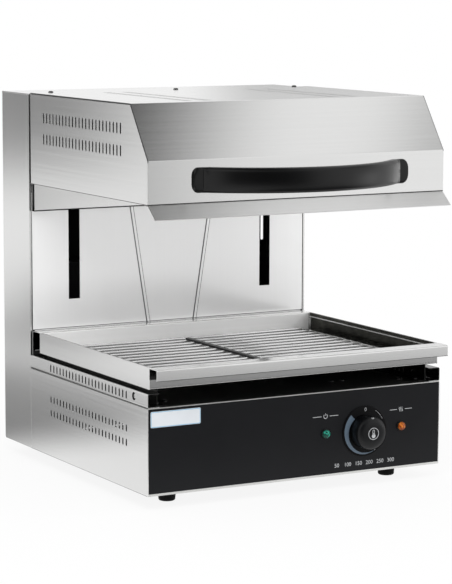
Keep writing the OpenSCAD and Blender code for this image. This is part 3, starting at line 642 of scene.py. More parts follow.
class Shape:
    """Points and faces of one mesh, collected part by part."""

    def __init__(self):
        self.points = []
        self.faces = []

    def add(self, points, faces, place=None):
        """Adds points, moved to a place, and the faces that count from the first of them."""
        start = len(self.points)
        self.points += [place @ Vector(p) if place else Vector(p) for p in points]
        self.faces += [tuple(start + i for i in face) for face in faces]

    def turned(self, profile, place, steps=64, closed=False):
        """A round part: profile holds (radius, height) pairs, turned about local Z."""
        rings = [
            [(r * math.cos(2 * math.pi * k / steps), r * math.sin(2 * math.pi * k / steps), h)
             for k in range(steps)]
            for r, h in profile
        ]
        self.loft(rings, place, closed_path=closed, caps=not closed)

    def loft(self, rings, place=None, closed_path=False, caps=True):
        """Joins closed rings of equally many points, one after the other."""
        count = len(rings[0])
        points = [p for ring in rings for p in ring]
        faces = []
        last = len(rings) if closed_path else len(rings) - 1
        for i in range(last):
            a, b = i * count, (i + 1) % len(rings) * count
            for k in range(count):
                after = (k + 1) % count
                faces.append((a + k, a + after, b + after, b + k))
        if caps and not closed_path:
            faces.append(tuple(range(count)))
            faces.append(tuple(range(len(points) - count, len(points))))
        self.add(points, faces, place)

    def plate(self, outline, thickness, place):
        """A flat part from a 2-D outline, standing on local Z = 0."""
        self.loft([[(x, y, 0) for x, y in outline], [(x, y, thickness) for x, y in outline]], place)

    def ribbon(self, path, width, thickness, place, closed=False):
        """A flat line along 2-D points. width may be a list, one for each point."""
        widths = width if isinstance(width, list) else [width] * len(path)
        left, right = [], []
        for i, here in enumerate(path):
            before = path[i - 1] if i or closed else path[i]
            after = path[(i + 1) % len(path)] if closed or i + 1 < len(path) else path[i]
            way = Vector((after[0] - before[0], after[1] - before[1])).normalized()
            side = Vector((-way.y, way.x)) * widths[i] / 2
            left.append(Vector(here) + side)
            right.append(Vector(here) - side)
        rings = [
            [(a.x, a.y, 0), (a.x, a.y, thickness), (b.x, b.y, thickness), (b.x, b.y, 0)]
            for a, b in zip(left, right)
        ]
        self.loft(rings, place, closed_path=closed)

    def piece(self, name, material, body, slot, smooth=40.0):
        """Makes the collected mesh a piece of the visual model."""
        return new_piece(name, self.points, self.faces, material, body, smooth)


def node_parts(name):
    """The lowest and highest corner of each separate solid in a node."""
    shape = bmesh.new()
    shape.from_mesh(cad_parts[name].data)
    bmesh.ops.remove_doubles(shape, verts=shape.verts, dist=1e-6)
    left = set(shape.verts)
    found = []
    while left:
        heap = [left.pop()]
        island = []
        while heap:
            vert = heap.pop()
            island.append(vert.co.copy())
            for edge in vert.link_edges:
                other = edge.other_vert(vert)
                if other in left:
                    left.remove(other)
                    heap.append(other)
        low = Vector(tuple(min(p[i] for p in island) for i in range(3)))
        high = Vector(tuple(max(p[i] for p in island) for i in range(3)))
        found.append((low, high))
    shape.free()
    return sorted(found, key=lambda pair: tuple(round(v, 5) for v in pair[0]))


def rod(shape, middle, way, long, radius, steps=20):
    """A round rod with softly rounded ends."""
    tip = radius * 0.5
    end = -long / 2
    profile = [(radius * 0.55, end), (radius * 0.85, end + tip * 0.3), (radius, end + tip)]
    profile += [(r, -h) for r, h in reversed(profile)]
    shape.turned(profile, facing(middle, way, (0, 0, 1)), steps)


def arc(radius, start, end, steps, middle=(0.0, 0.0)):
    """Points on an arc, in degrees."""
    angles = [math.radians(start + (end - start) * k / steps) for k in range(steps + 1)]
    return [(middle[0] + radius * math.cos(a), middle[1] + radius * math.sin(a)) for a in angles]


def ring_path(radius, steps=48, middle=(0.0, 0.0), squeeze=1.0):
    """Points once round a circle or an upright oval."""
    return [
        (middle[0] + squeeze * radius * math.cos(2 * math.pi * k / steps),
         middle[1] + radius * math.sin(2 * math.pi * k / steps))
        for k in range(steps)
    ]


def rounded_outline(width, height, radius, steps=8):
    """A rectangle with round corners, as 2-D points."""
    outline = []
    corners = ((1, 1, 0), (-1, 1, 90), (-1, -1, 180), (1, -1, 270))
    for sx, sy, start in corners:
        middle = (sx * (width / 2 - radius), sy * (height / 2 - radius))
        outline += arc(radius, start, start + 90, steps, middle)
    return outline


# ---------- Sheet metal ----------


# A distance beyond every piece, and how far a zone keeps off a sheet's outer face
FAR = 9.0
SHEET = 0.3 * MM


def band(node, axis, start, stop, left, inner=False):
    """A zone across one axis of a node, from start to stop above its lowest corner, or below its
    highest corner where they are negative. inner keeps it off the outer side faces."""
    low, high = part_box(node)
    edges = [low[axis] + v if stop > 0 else high[axis] + v for v in (start, stop)]
    corner, other = [0.0, -FAR, -FAR], [high.x - SHEET if inner else FAR, FAR, FAR]
    corner[axis], other[axis] = edges
    return corner, other, left


def inner_faces(node, margin, left):
    """A zone of a box-like sheet's inner side faces, kept off its front, rear, top and bottom."""
    low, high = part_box(node)
    reach = high.x if high.x > 0 else -low.x
    return ([0.0, low.y + margin[0], low.z + margin[1]],
            [reach - SHEET, high.y - margin[0], high.z - margin[1]], left)


def steel(name, grain, colour, roughness=None, streaks=None, blotches=0.02, **more):
    """Brushed stainless sheet with its grain along one axis. more is passed on to metal()."""
    given = bpy.context.scene.melter_steel
    roughness = given.gloss if roughness is None else roughness
    streaks = given.streaks if streaks is None else streaks
    return metal(name, colour, roughness, grain, streaks, blotches, **more)


class FinishCasing(bpy.types.Operator):
    """Brushed steel on the base, column and covers, with shade painted in their joints and hollows,
    and the finish of the feet and inner plates
    """

    bl_idname = "melter.finish_casing"
    bl_label = "Finish casing"

    def execute(self, context):
        casing = context.scene.melter_steel.casing
        # Shares of brightness left where shade is painted: in the joint along an edge, and on inner
        # faces
        seam_shade, inside = 0.04, 0.16
        low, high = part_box("base_shell")
        # Painted shade on the base's inner faces and along the bottom edge of its sides
        dress("base_shell", steel("Base steel, brushed front to back", "y", casing, zones=[
            inner_faces("base_shell", (4 * MM, 3 * MM), inside),
            ([high.x - 2 * MM, low.y + 2 * MM, -FAR], [FAR, FAR, low.z + 0.6 * MM], 0.3),
        ]))
        # Painted shade on the channels' inner faces and on their top flange, under the tray
        low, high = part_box("side_channel_right")
        dress_all(["side_channel_left", "side_channel_right"],
                  steel("Channel steel, brushed front to back", "y", casing, zones=[
                      inner_faces("side_channel_right", (-1 * MM, 1.2 * MM), inside),
                      ([0.0, -FAR, high.z - 1.4 * MM], [high.x - 0.8 * MM, FAR, FAR], 0.12)]))
        # The rails are coloured near black: painted shade behind the channels' slots
        dress_all(["tray_rail_left", "tray_rail_right"],
                  steel("Rail steel, dull, with painted shade", "y", (0.05, 0.05, 0.048), 0.45, 0.08, 0.1))
        # The deck and bottom plate are coloured dark: painted shade under the tray. The deck's
        # front edge strip is brought back up to about the casing's brightness
        dull = steel("Deck steel, dull, with painted shade under the tray", "x", (0.24, 0.24, 0.235), 0.42, 0.08, 0.1,
                     zones=[band("deck_plate", 1, -1 * MM, 0.5 * MM, 3.2)])
        dress_all(["deck_plate", "bottom_plate"], dull)
        low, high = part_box("column_shell")
        # Painted shade in the joint along the column's front, on its inner faces and along the top
        # edge of its sides
        dress("column_shell", steel("Column steel, brushed upright", "z", casing, zones=[
            ([0.0, low.y - 1 * MM, -FAR], [high.x - 2.6 * MM, low.y + 1.6 * MM, FAR], seam_shade),
            ([0.0, low.y + 1.6 * MM, -FAR], [high.x - SHEET, FAR, high.z - SHEET], inside),
            ([high.x - 1 * MM, -FAR, high.z - 0.9 * MM], [FAR, FAR, FAR], 0.15),
        ]))
        low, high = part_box("rear_cover")
        # Painted shade on the rear cover's inner faces
        dress("rear_cover", steel("Cover steel, brushed upright", "z", casing, zones=[
            ([0.0, low.y - 1 * MM, low.z + 2 * MM],
             [high.x - 2 * MM, high.y - SHEET, high.z - 2 * MM], inside),
        ]))
        low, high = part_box("back_panel")
        tray_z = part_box("drip_tray")[1].z
        gap_shade, step = 0.05, tray_z - 29 * MM
        # Painted shade in the dark spaces at both ends behind the tray, in a line just above the
        # tray, and on the beads' sloping faces
        bright = steel("Bright panel steel", "z", context.scene.melter_steel.back, roughness=0.22,
                       streaks=0.02, blotches=0.0, solid=0.35, shade=0.75, zones=[
                           ([high.x - 31 * MM, -FAR, tray_z - 37.5 * MM], [FAR, FAR, step], gap_shade),
                           ([high.x - 3 * MM, -FAR, step], [FAR, FAR, tray_z + 1 * MM], gap_shade),
                           ([0.0, -FAR, tray_z + 0.5 * MM], [FAR, FAR, tray_z + 1.6 * MM], 0.2),
                       ])
        dress("back_panel", bright)
        plated = metal("Zinc-plated steel", (0.52, 0.52, 0.5), 0.42, "x", 0.1, 0.3)
        dress_all(["upper_crossmember", "lower_crossmember"], plated)
        dress("feet", moulded("Black rubber", (0.002, 0.002, 0.002), 0.7, 700.0, 0.08 * MM, 0.03,
                              Specular_IOR_Level=0.15))
        dress("foot_screws", metal("Bright screw steel", (0.66, 0.66, 0.66), 0.24, "z"))
        return {"FINISHED"}


class FinishHood(bpy.types.Operator):
    """Brushed steel on the hood's sheets, lip and skirt, with shade painted along their joints,
    edges and inner faces
    """

    bl_idname = "melter.finish_hood"
    bl_label = "Finish hood"

    def execute(self, context):
        casing = context.scene.melter_steel.casing
        # Shares of brightness left where shade is painted: in the joint along an edge, and on inner
        # faces
        seam_shade, inside = 0.03, 0.16
        low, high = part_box("hood_cover")
        front_height = 54 * MM
        front_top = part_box("front_lip")[1].z + front_height
        # Painted shade along the cover's lower edge, along its side edges above the front, and in
        # the hollows of the vents in its top
        dress("hood_cover", steel("Hood steel, brushed across", "x", casing, zones=[
            band("hood_cover", 2, 0.0, 1.0 * MM, seam_shade),
            ([high.x - 0.8 * MM, -FAR, front_top], [FAR, FAR, FAR], 0.12),
            ([0.0, low.y + 60 * MM, high.z - 1.2 * MM],
             [high.x - 20 * MM, high.y - 20 * MM, high.z - 0.1 * MM], 0.03),
        ]))
        # Painted shade on the lip's outer ends
        dress("front_lip", steel("Lip steel, brushed across", "x", casing, 0.34, zones=[
            ([high.x - 0.7 * MM, -FAR, -FAR], [FAR, FAR, FAR], 0.3),
        ]))
        # Painted shade along the skirt's lower edge
        dress("rear_skirt", steel("Skirt steel, brushed across", "x", casing, zones=[
            band("rear_skirt", 2, 0.0, 1.6 * MM, seam_shade),
        ]))
        dress("hood_back", steel("Hood back steel", "x", (0.3, 0.3, 0.295), 0.4))
        # Painted shade along the sides' lower and upper edges and on their inner faces
        dress_all(["hood_side_left", "hood_side_right"],
                  steel("Hood side steel, brushed front to back", "y", casing, zones=[
                      band("hood_side_right", 2, 0.0, 0.8 * MM, 0.2),
                      band("hood_side_right", 2, -0.7 * MM, 0.0, 0.15),
                      inner_faces("hood_side_right", (1.2 * MM, 1.2 * MM), inside),
                  ]))
        return {"FINISHED"}


class FinishTray(bpy.types.Operator):
    """Rolled steel on the drip tray, with shade painted on its inner side walls, floor, front and
    rear
    """

    bl_idname = "melter.finish_tray"
    bl_label = "Finish tray"

    def execute(self, context):
        given = context.scene.melter_steel
        low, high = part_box("drip_tray")
        wall, hem, lip_drop = 0.5 * MM, 3.2 * MM, 15 * MM
        front_flange, rear_flange = 24.2 * MM, 23 * MM
        half = high.x - 1.5 * MM
        front, rear = low.y + front_flange, high.y - rear_flange
        # The inner side walls take the painted shade, but for a line along their hem
        walls = (
            (half - hem, front + 4 * MM, low.z + 2 * MM),
            (half - wall, rear - 3 * MM, high.z + 1 * MM),
        )
        line = ((0.0, -FAR, high.z - 6.5 * MM), (FAR, FAR, high.z - 5 * MM))
        inside = ((0.0, front, low.z + 3 * MM), (half - hem, rear, high.z - wall))
        drop = high.z - lip_drop
        below, pan_front, pan_outer = drop - 1 * MM, front - 1.3 * MM, front - 0.4 * MM
        # Painted shade on the front wall under the lip, along the lip's lower edge, on the front
        # wall below it, on the floor and along the rear edge
        zones = [
            ([0.0, pan_front, below], [FAR, pan_outer, high.z - 1.2 * MM], 0.05),
            ([0.0, -FAR, below], [FAR, low.y + 0.9 * MM, drop + 0.7 * MM], 0.15),
            ([0.0, pan_front, -FAR], [FAR, pan_outer, below], 0.66),
            ([0.0, front, -FAR], [half - hem, rear - 1.2 * MM, low.z + 3 * MM], 0.14),
            ([0.0, high.y - 4 * MM, -FAR], [FAR, FAR, high.z - 2 * MM], 0.03),
        ]
        dress("drip_tray", tray_sheet("Tray steel", given.tray, 0.2, given.wall_shade,
                                      walls, line, inside, zones))
        return {"FINISHED"}


class MakeGrid(bpy.types.Operator):
    """The wire grid: bright round-ended rods welded on two runners, with a dark bar across them"""

    bl_idname = "melter.make_grid"
    bl_label = "Make grid"

    def execute(self, context):
        given = context.scene.melter_grid
        bright = metal("Bright wire", (0.9, 0.9, 0.9), 0.16, "x", 0.03, 0.02, 0.2 * MM, 0.7)
        # The bar is coloured near black: a painted reflection of the dark surroundings
        dark = moulded("Bar, painted dark reflection", (0.003, 0.003, 0.003), 0.4, 900.0, 0.02 * MM,
                       Specular_IOR_Level=0.25)
        low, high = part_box("wire_grid")
        radius, runner, count = given.rod / 2, given.runner / 2, given.rods
        bar_wide, bar_thick = 8 * MM, 3 * MM
        front, rear = low.y + given.overhang, high.y - given.overhang
        rod_z = high.z - given.bar_rise - bar_thick
        wires = Shape()
        for k in range(count):
            y = front + (rear - front) * k / (count - 1)
            rod(wires, (0, y, rod_z), (1, 0, 0), high.x - low.x, radius)
        for side in (-1, 1):
            middle = (side * (high.x - 8 * MM), (low.y + high.y) / 2, low.z + runner)
            rod(wires, middle, (0, 1, 0), high.y - low.y, runner)
        bar = Shape()
        start, stop = low.y, rear - 18 * MM
        outline = rounded_outline(bar_wide, bar_thick, 0.8 * MM, 4)
        middle = (0, stop, rod_z + given.bar_rise + bar_thick / 2)
        bar.plate(outline, stop - start, facing(middle, (0, -1, 0)))
        piece = wires.piece("grid_wires", bright, "grid", "chrome_wire")
        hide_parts("wire_grid")
        bar.piece("grid_bar", dark, "grid", "chrome_wire")
        return {"FINISHED"}


class FinishLift(bpy.types.Operator):
    """Finish of the column's rods, pulleys and counterweight, and of its wire ropes"""

    bl_idname = "melter.finish_lift"
    bl_label = "Finish lift"

    def execute(self, context):
        ground = metal("Ground rod steel", (0.76, 0.76, 0.77), 0.12, "x", 0.05, 0.03)
        plated = metal("Plated lift steel", (0.5, 0.5, 0.49), 0.45, "z", 0.1, 0.35)
        dress_all(["guide_rods", "pulley_axles"], ground)
        dress_all(["rod_nuts", "pulley_brackets", "lift_arms", "carriage_plate"], plated)
        dress("travel_buffers",
              moulded("Buffer rubber", (0.012, 0.012, 0.012), 0.75, 500.0, 0.1 * MM))
        wire = stranded("Wire rope", (0.4, 0.4, 0.4))
        dress_all(["rope_wraps", "carriage_ropes"], wire)
        runs, lengths = Shape(), 24
        for low, high in node_parts("weight_ropes"):
            radius, tall = (high.x - low.x) / 2, high.z - low.z
            rings = [[(x, y, tall * (k / lengths - 0.5)) for x, y in ring_path(radius, 16)]
                     for k in range(lengths + 1)]
            runs.loft(rings, Matrix.Translation((low + high) / 2))
        piece = runs.piece("weight_rope_runs", wire, "cabinet", "wire_rope")
        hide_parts("weight_ropes")
        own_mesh(piece)
        dress_all(["weight_crimps", "carriage_crimps"],
                  metal("Pressed crimp", (0.6, 0.6, 0.59), 0.38, "z", 0.1, 0.2))
        dress("counterweight", moulded("Cast iron, painted", (0.022, 0.022, 0.024), 0.62, 260.0,
                                       0.4 * MM, 0.12, 1 * MM, 0.8))
        dress_all(["pulley_left", "pulley_right"],
                  metal("Turned pulley", (0.62, 0.62, 0.63), 0.3, "x", 0.25, 0.05))
        dress("slide_bushes", metal("Bush bronze", (0.62, 0.43, 0.18), 0.36, "z", 0.15, 0.15))
        return {"FINISHED"}


class FinishHeating(bpy.types.Operator):
    """Finish of the heater box, elements, reflector and the electrical parts"""

    bl_idname = "melter.finish_heating"
    bl_label = "Finish heating"

    def execute(self, context):
        dress("heater_box", metal("Heater box steel", (0.16, 0.155, 0.15), 0.45, "x", 0.12, 0.25))
        dress("reflector", metal("Reflector sheet", (0.82, 0.81, 0.8), 0.18, "x", 0.05, 0.12))
        dress("heating_elements",
              metal("Element sheath", (0.17, 0.145, 0.135), 0.58, "x", 0.3, 0.6))
        dress("element_rests", metal("Rest bar steel", (0.5, 0.48, 0.46), 0.42, "y", 0.15, 0.3))
        dress("element_terminals", moulded("Ceramic", (0.78, 0.75, 0.68), 0.55, 500.0, 0.1 * MM))
        dress("insulation_mat", fibrous("Mineral wool", (0.62, 0.56, 0.4)))
        dress("heat_regulator", moulded("Regulator case", (0.6, 0.56, 0.46), 0.5, 800.0))
        dress("lamp_bodies", moulded("Lamp body plastic", (0.014, 0.014, 0.014), 0.45))
        dress("terminal_block", moulded("Terminal block", (0.76, 0.74, 0.68), 0.48))
        dress("regulator_shaft", metal("Shaft steel", (0.6, 0.6, 0.6), 0.3, "y", 0.1, 0.1))
        return {"FINISHED"}


# ---------- Handle ----------


class MakeHandle(bpy.types.Operator):
    """The moulded bow handle with its rounded edges and flat feet"""

    bl_idname = "melter.make_handle"
    bl_label = "Make handle"

    def execute(self, context):
        given = context.scene.melter_handle
        low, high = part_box("handle_bow")
        half, hood = high.x, high.y
        reach = hood - low.y
        height = high.z - low.z
        middle_z = (low.z + high.z) / 2
        bow_half = half - given.foot
        rise = reach - given.foot_t
        radius = (bow_half**2 + rise**2) / (2 * rise)
        centre_y = low.y + radius
        thickness = 14 * MM

        def outer(x):
            if abs(x) >= bow_half:
                return hood - given.foot_t
            return centre_y - math.sqrt(radius**2 - x * x)

        def inner(x):
            inside = (radius - thickness) ** 2 - x * x
            reached = centre_y - math.sqrt(inside) if inside > 0 else hood
            return min(hood, max(reached, outer(x) + given.foot_t))

        stops, corner_steps, front_steps = 72, 6, 8
        corner_points = 2 * (corner_steps + 1)
        places = [-bow_half * math.cos(math.pi * k / stops) for k in range(stops + 1)]
        ends = [bow_half + given.foot * s for s in (0.06, 0.16, 0.3)]
        ends += [half - given.corner * (1 - math.sin(math.radians(a))) for a in range(0, 91, 9)]
        ends = sorted(x for x in ends if x > bow_half + 1e-5)
        places = [-x for x in reversed(ends)] + places + ends
        rings = []
        for x in places:
            past = max(0.0, abs(x) - (half - given.corner))
            cut = given.corner - math.sqrt(max(given.corner**2 - past**2, 0.0))
            tall = max(height - 2 * cut, height * 0.2)
            deep = inner(x) - outer(x)
            edge = min(given.edge, deep * 0.42)
            ring = rounded_outline(deep, tall, edge, corner_steps)
            straight = [(-deep / 2, (tall / 2 - edge) * (1 - 2 * k / front_steps))
                        for k in range(1, front_steps)]
            ring[corner_points:corner_points] = straight
            crown = min(given.crown, (deep - 2 * edge) * 0.6)
            ring = [(a + crown * (2 * b / tall) ** 2 if a < 0 else a, b) for a, b in ring]
            middle_y = (inner(x) + outer(x)) / 2
            rings.append([(x, middle_y + a, middle_z + b) for a, b in ring])
        bow = Shape()
        bow.loft(rings)
        black = moulded("Handle plastic", given.colour, 0.3, 1500.0, 0.01 * MM, 0.0, 0.4 * MM, 0.0,
                        Specular_IOR_Level=0.32)
        piece = bow.piece("handle", black, "hood", "black_handle", 50.0)
        piece.visible_glossy = False
        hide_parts("handle_bow")
        dress("handle_screws", metal("Handle screw steel", (0.66, 0.66, 0.66), 0.24, "y"))
        return {"FINISHED"}


# ---------- Controls ----------


def on_panel(node, x=0.0, z=0.0, lift=0.0):
    """The matrix of a place on the front panel, measured from a control's own centre."""
    middle = centre(node)
    return facing((middle.x + x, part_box("front_panel")[0].y - lift, middle.z + z), (0, -1, 0))


class MakeKnob(bpy.types.Operator):
    """The domed knob with its printed pictogram and pointer"""

    bl_idname = "melter.make_knob"
    bl_label = "Make knob"

    def execute(self, context):
        given = context.scene.melter_controls
        low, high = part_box("control_knob")
        out = high.y - low.y
        radius = (high.x - low.x) / 2
        base = facing((centre("control_knob").x, high.y, centre("control_knob").z), (0, -1, 0))
        bore, flat, top = 3.05 * MM, 9.5 * MM, out - 0.12 * MM
        profile = [(bore, 0), (radius - 1.2 * MM, 0), (radius - 0.3 * MM, 0.5 * MM),
                   (radius, 1.2 * MM)]
        profile += [(radius - inward * MM, out - down * MM) for inward, down in (
            (0.2, 8), (0.5, 6), (1.3, 4), (2.8, 2.4), (5, 1.3), (8, 0.55))]
        profile += [(flat + 1.5 * MM, out - 0.2 * MM), (flat, top), (0.2 * MM, top)]
        knob = Shape()
        knob.turned(profile, base, 96)
        black = moulded("Knob plastic", given.knob, 0.36, 2600.0, 0.03 * MM, 0.0, 0.4 * MM, 0.0,
                        Specular_IOR_Level=0.3)
        piece = knob.piece("knob", black, "knob", "black_knob", 34.0)
        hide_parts("control_knob")
        ink = printed_ink("Knob print", given.ink)
        face = base @ Matrix.Translation((0, 0, top))
        thick = 0.1 * MM
        marks = Shape()
        marks.ribbon(ring_path(7.8 * MM), 0.8 * MM, thick, face, closed=True)
        bulb = (0.0, -3.2 * MM)
        marks.plate(ring_path(2.9 * MM, 32, bulb), thick, face)
        neck, neck_top = 1.35 * MM, 3.8 * MM
        tube = [(neck, -1.0 * MM), (neck, neck_top)] + arc(neck, 0, 180, 10, (0, neck_top))[1:]
        tube += [(-neck, -1.0 * MM)]
        marks.ribbon(tube, 0.7 * MM, thick, face)
        column = ((-0.5, -1.2), (0.5, -1.2), (0.5, 1.0), (-0.5, 1.0))
        marks.plate([(x * MM, y * MM) for x, y in column], thick, face)
        marks.piece("knob_pictogram", ink, "knob", "black_knob")
        pointer = Shape()
        edge = base @ Matrix.Translation((0, radius - 2.4 * MM, out - 2.7 * MM))
        edge = edge @ Matrix.Rotation(math.radians(-35), 4, "X")
        bar = rounded_outline(0.9 * MM, 2.2 * MM, 0.3 * MM, 3)
        for side in (-1.1, 1.1):
            pointer.plate([(side * MM + a, b) for a, b in bar], 0.15 * MM, edge)
        pointer.piece("knob_pointer", ink, "knob", "black_knob")
        return {"FINISHED"}


class MakeDial(bpy.types.Operator):
    """The dial plate with its tapering band, its two short arcs and its zero"""

    bl_idname = "melter.make_dial"
    bl_label = "Make dial"

    def execute(self, context):
        given = context.scene.melter_controls
        low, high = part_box("dial_plate")
        radius, thick = (high.x - low.x) / 2, high.y - low.y
        base = facing((centre("dial_plate").x, high.y, centre("dial_plate").z), (0, -1, 0))
        plate = Shape()
        hole = 5.3 * MM
        plate.turned([(hole, 0), (radius - 0.2 * MM, 0), (radius, 0.2 * MM), (radius, thick * 0.55),
                      (radius - 0.5 * MM, thick * 0.85), (radius - 1.2 * MM, thick),
                      (hole, thick)], base, 128, closed=True)
        black = moulded("Dial plastic", (0.002, 0.002, 0.0024), 0.42, 2200.0, 0.02 * MM, 0.0,
                        0.4 * MM, 0.3, Specular_IOR_Level=0.1)
        piece = plate.piece("dial", black, "cabinet", "black_dial", 30.0)
        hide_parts("dial_plate")
        face = base @ Matrix.Translation((0, 0, thick))
        thin = 0.12 * MM
        outer, inner_start, inner_end = 32 * MM, 23.4 * MM, 31.5 * MM
        steps, start_at, sweep, taper = 60, 132.5, 167.5, 1.15
        middle_line, widths = [], []
        for k in range(steps + 1):
            inner = inner_start + (inner_end - inner_start) * (k / steps) ** taper
            angle = math.radians(start_at + sweep * k / steps)
            middle = (outer + inner) / 2
            middle_line.append((middle * math.cos(angle), middle * math.sin(angle)))
            widths.append(outer - inner)
        wedge = Shape()
        wedge.ribbon(middle_line, widths, thin, face)
        ink = printed_ink("Band print", given.wedge, 0.42)
        wedge.piece("dial_band", ink, "cabinet", "black_dial")
        marks = Shape()
        for start, end in ((28, 57), (279, 303)):
            marks.ribbon(arc(31.6 * MM, start, end, 20), 0.38 * MM, thin, face)
        zero = ring_path(2.1 * MM, 28, (1.2 * MM, 29.6 * MM), 0.62)
        marks.ribbon(zero, 0.55 * MM, thin, face, closed=True)
        marks.piece("dial_marks", printed_ink("Dial print", given.ink), "cabinet", "black_dial")
        return {"FINISHED"}


class MakeLights(bpy.types.Operator):
    """The two pilot lights with their prismatic lenses"""

    bl_idname = "melter.make_lights"
    bl_label = "Make lights"

    def execute(self, context):
        given = context.scene.melter_controls
        rim = moulded("Lamp rim", (0.004, 0.006, 0.005), 0.3, 1800.0, 0.01 * MM)
        # Each lens has its colour and the colour of its painted glints
        for node, name, colour, painted_glint, slot in (
            ("power_light", "power_lens", given.green, (0.04, 0.6, 0.42), "green_lens"),
            ("heat_light", "heat_lens", given.orange, (1.0, 0.33, 0.03), "orange_lens"),
        ):
            low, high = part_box(node)
            radius, out = (high.x - low.x) / 2, high.y - low.y
            base = facing((centre(node).x, high.y, centre(node).z), (0, -1, 0))
            bore, tall = radius - 1.2 * MM, 2.1 * MM
            collar = Shape()
            collar.turned([(bore, 0), (radius, 0), (radius, 1.6 * MM),
                           (radius - 0.4 * MM, tall), (bore, tall)], base, 48, closed=True)
            collar.piece(name + "_collar", rim, "cabinet", slot)
            lens = Shape()
            sides = 12
            rings = []
            for k, (share, height) in enumerate(
                ((0.9, 0.0), (0.9, 0.36), (0.82, 0.58), (0.62, 0.8), (0.36, 0.94), (0.12, 1.0))
            ):
                turn = math.pi / sides * (k % 2)
                rings.append([
                    (share * radius * math.cos(turn + 2 * math.pi * j / sides),
                     share * radius * math.sin(turn + 2 * math.pi * j / sides), height * out)
                    for j in range(sides)
                ])
            lens.loft(rings, base)
            clear = lens_plastic(name + " plastic", colour, painted_glint)
            piece = lens.piece(name, clear, "cabinet", slot, 5.0)
            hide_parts(node)
        return {"FINISHED"}


def numbers_mesh(text, size, thickness, boldness):
    """The points and faces of printed figures, centred on the origin."""
    curve = bpy.data.curves.new("figures", "FONT")
    curve.body = text
    curve.size = size
    curve.align_x = "CENTER"
    curve.align_y = "CENTER"
    curve.extrude = thickness / 2
    curve.offset = boldness
    curve.resolution_u = 3
    carrier = bpy.data.objects.new("figures", curve)
    mesh = bpy.data.meshes.new_from_object(carrier)
    points = [v.co.copy() + Vector((0, 0, thickness / 2)) for v in mesh.vertices]
    faces = [tuple(p.vertices) for p in mesh.polygons]
    bpy.data.objects.remove(carrier)
    bpy.data.curves.remove(curve)
    bpy.data.meshes.remove(mesh)
    return points, faces


class MakePanelMarks(bpy.types.Operator):
    """The satin front panel with its printed signs and figures"""

    bl_idname = "melter.make_panel_marks"
    bl_label = "Make panel marks"

    def execute(self, context):
        given = context.scene.melter_controls
        dress("front_panel", moulded("Panel enamel", given.panel, 0.4, 1100.0, 0.02 * MM, 0.0,
                                     0.4 * MM, 0.5, Specular_IOR_Level=0.22))
        thin = 0.08 * MM
        line = 0.75 * MM
        marks = Shape()
        power = on_panel("power_light", 0.0, 23.7 * MM)
        marks.ribbon(arc(2.9 * MM, 125, 415, 26), line, thin, power)
        marks.ribbon([(0, 0.9 * MM), (0, 4.0 * MM)], line, thin, power)
        heat = on_panel("heat_light", 0.0, 23.2 * MM)
        bends = 14
        for x in (-2.2, 0.0, 2.2):
            wave = []
            for k in range(bends + 1):
                turn = k / bends
                sway = 0.6 * math.sin(turn * 2 * math.pi)
                wave.append(((x + sway) * MM, (turn - 0.5) * 6.0 * MM))
            marks.ribbon(wave, line, thin, heat)
        for place, wide in ((power, 20), (heat, 18)):
            for side in (-1, 1):
                marks.ribbon([(side * 6.5 * MM, 0), (side * wide * MM, 0)], line, thin, place)
        scale = on_panel("control_knob", 0.0, -44.0 * MM)
        figures = ("50", "100", "150", "200", "250", "300")
        size, pitch, middle = 7.6 * MM, 17.2, (len(figures) - 1) / 2
        for k, text in enumerate(figures):
            points, faces = numbers_mesh(text, size, thin, 0.05 * MM)
            shift = Matrix.Translation(((k - middle) * pitch * MM, 0, 0))
            marks.add(points, faces, scale @ shift)
        marks.piece("panel_marks", printed_ink("Panel print", given.ink), "cabinet", "black_panel")
        return {"FINISHED"}


class MakeLabel(bpy.types.Operator):
    """The blank label with its thin border"""

    bl_idname = "melter.make_label"
    bl_label = "Make label"

    def execute(self, context):
        given = context.scene.melter_controls
        low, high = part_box("blank_label")
        wide, tall, thick = high.x - low.x, high.z - low.z, high.y - low.y
        middle = centre("blank_label")
        base = facing((middle.x, high.y, middle.z), (0, -1, 0))
        corner, inset, margin = 2 * MM, 0.12 * MM, 1.6 * MM
        outline = rounded_outline(wide, tall, corner)
        label = Shape()
        smaller = rounded_outline(wide - 2 * inset, tall - 2 * inset, corner - inset)
        label.loft([[(x, y, 0) for x, y in outline], [(x, y, thick - inset) for x, y in outline],
                    [(x, y, thick) for x, y in smaller]], base)
        paper = moulded("Label film", given.label, 0.35, 1200.0, 0.01 * MM, 0.0, 0.2 * MM, 0.1)
        piece = label.piece("label", paper, "cabinet", "pale_label", 30.0)
        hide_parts("blank_label")
        border = Shape()
        path = rounded_outline(wide - margin, tall - margin, 1.5 * MM)
        face = base @ Matrix.Translation((0, 0, thick))
        border.ribbon(path, 0.8 * MM, 0.03 * MM, face, closed=True)
        ink = printed_ink("Label border", (0.18, 0.42, 0.62))
        border.piece("label_border", ink, "cabinet", "pale_label")
        return {"FINISHED"}


# ---------- Screws and gland ----------


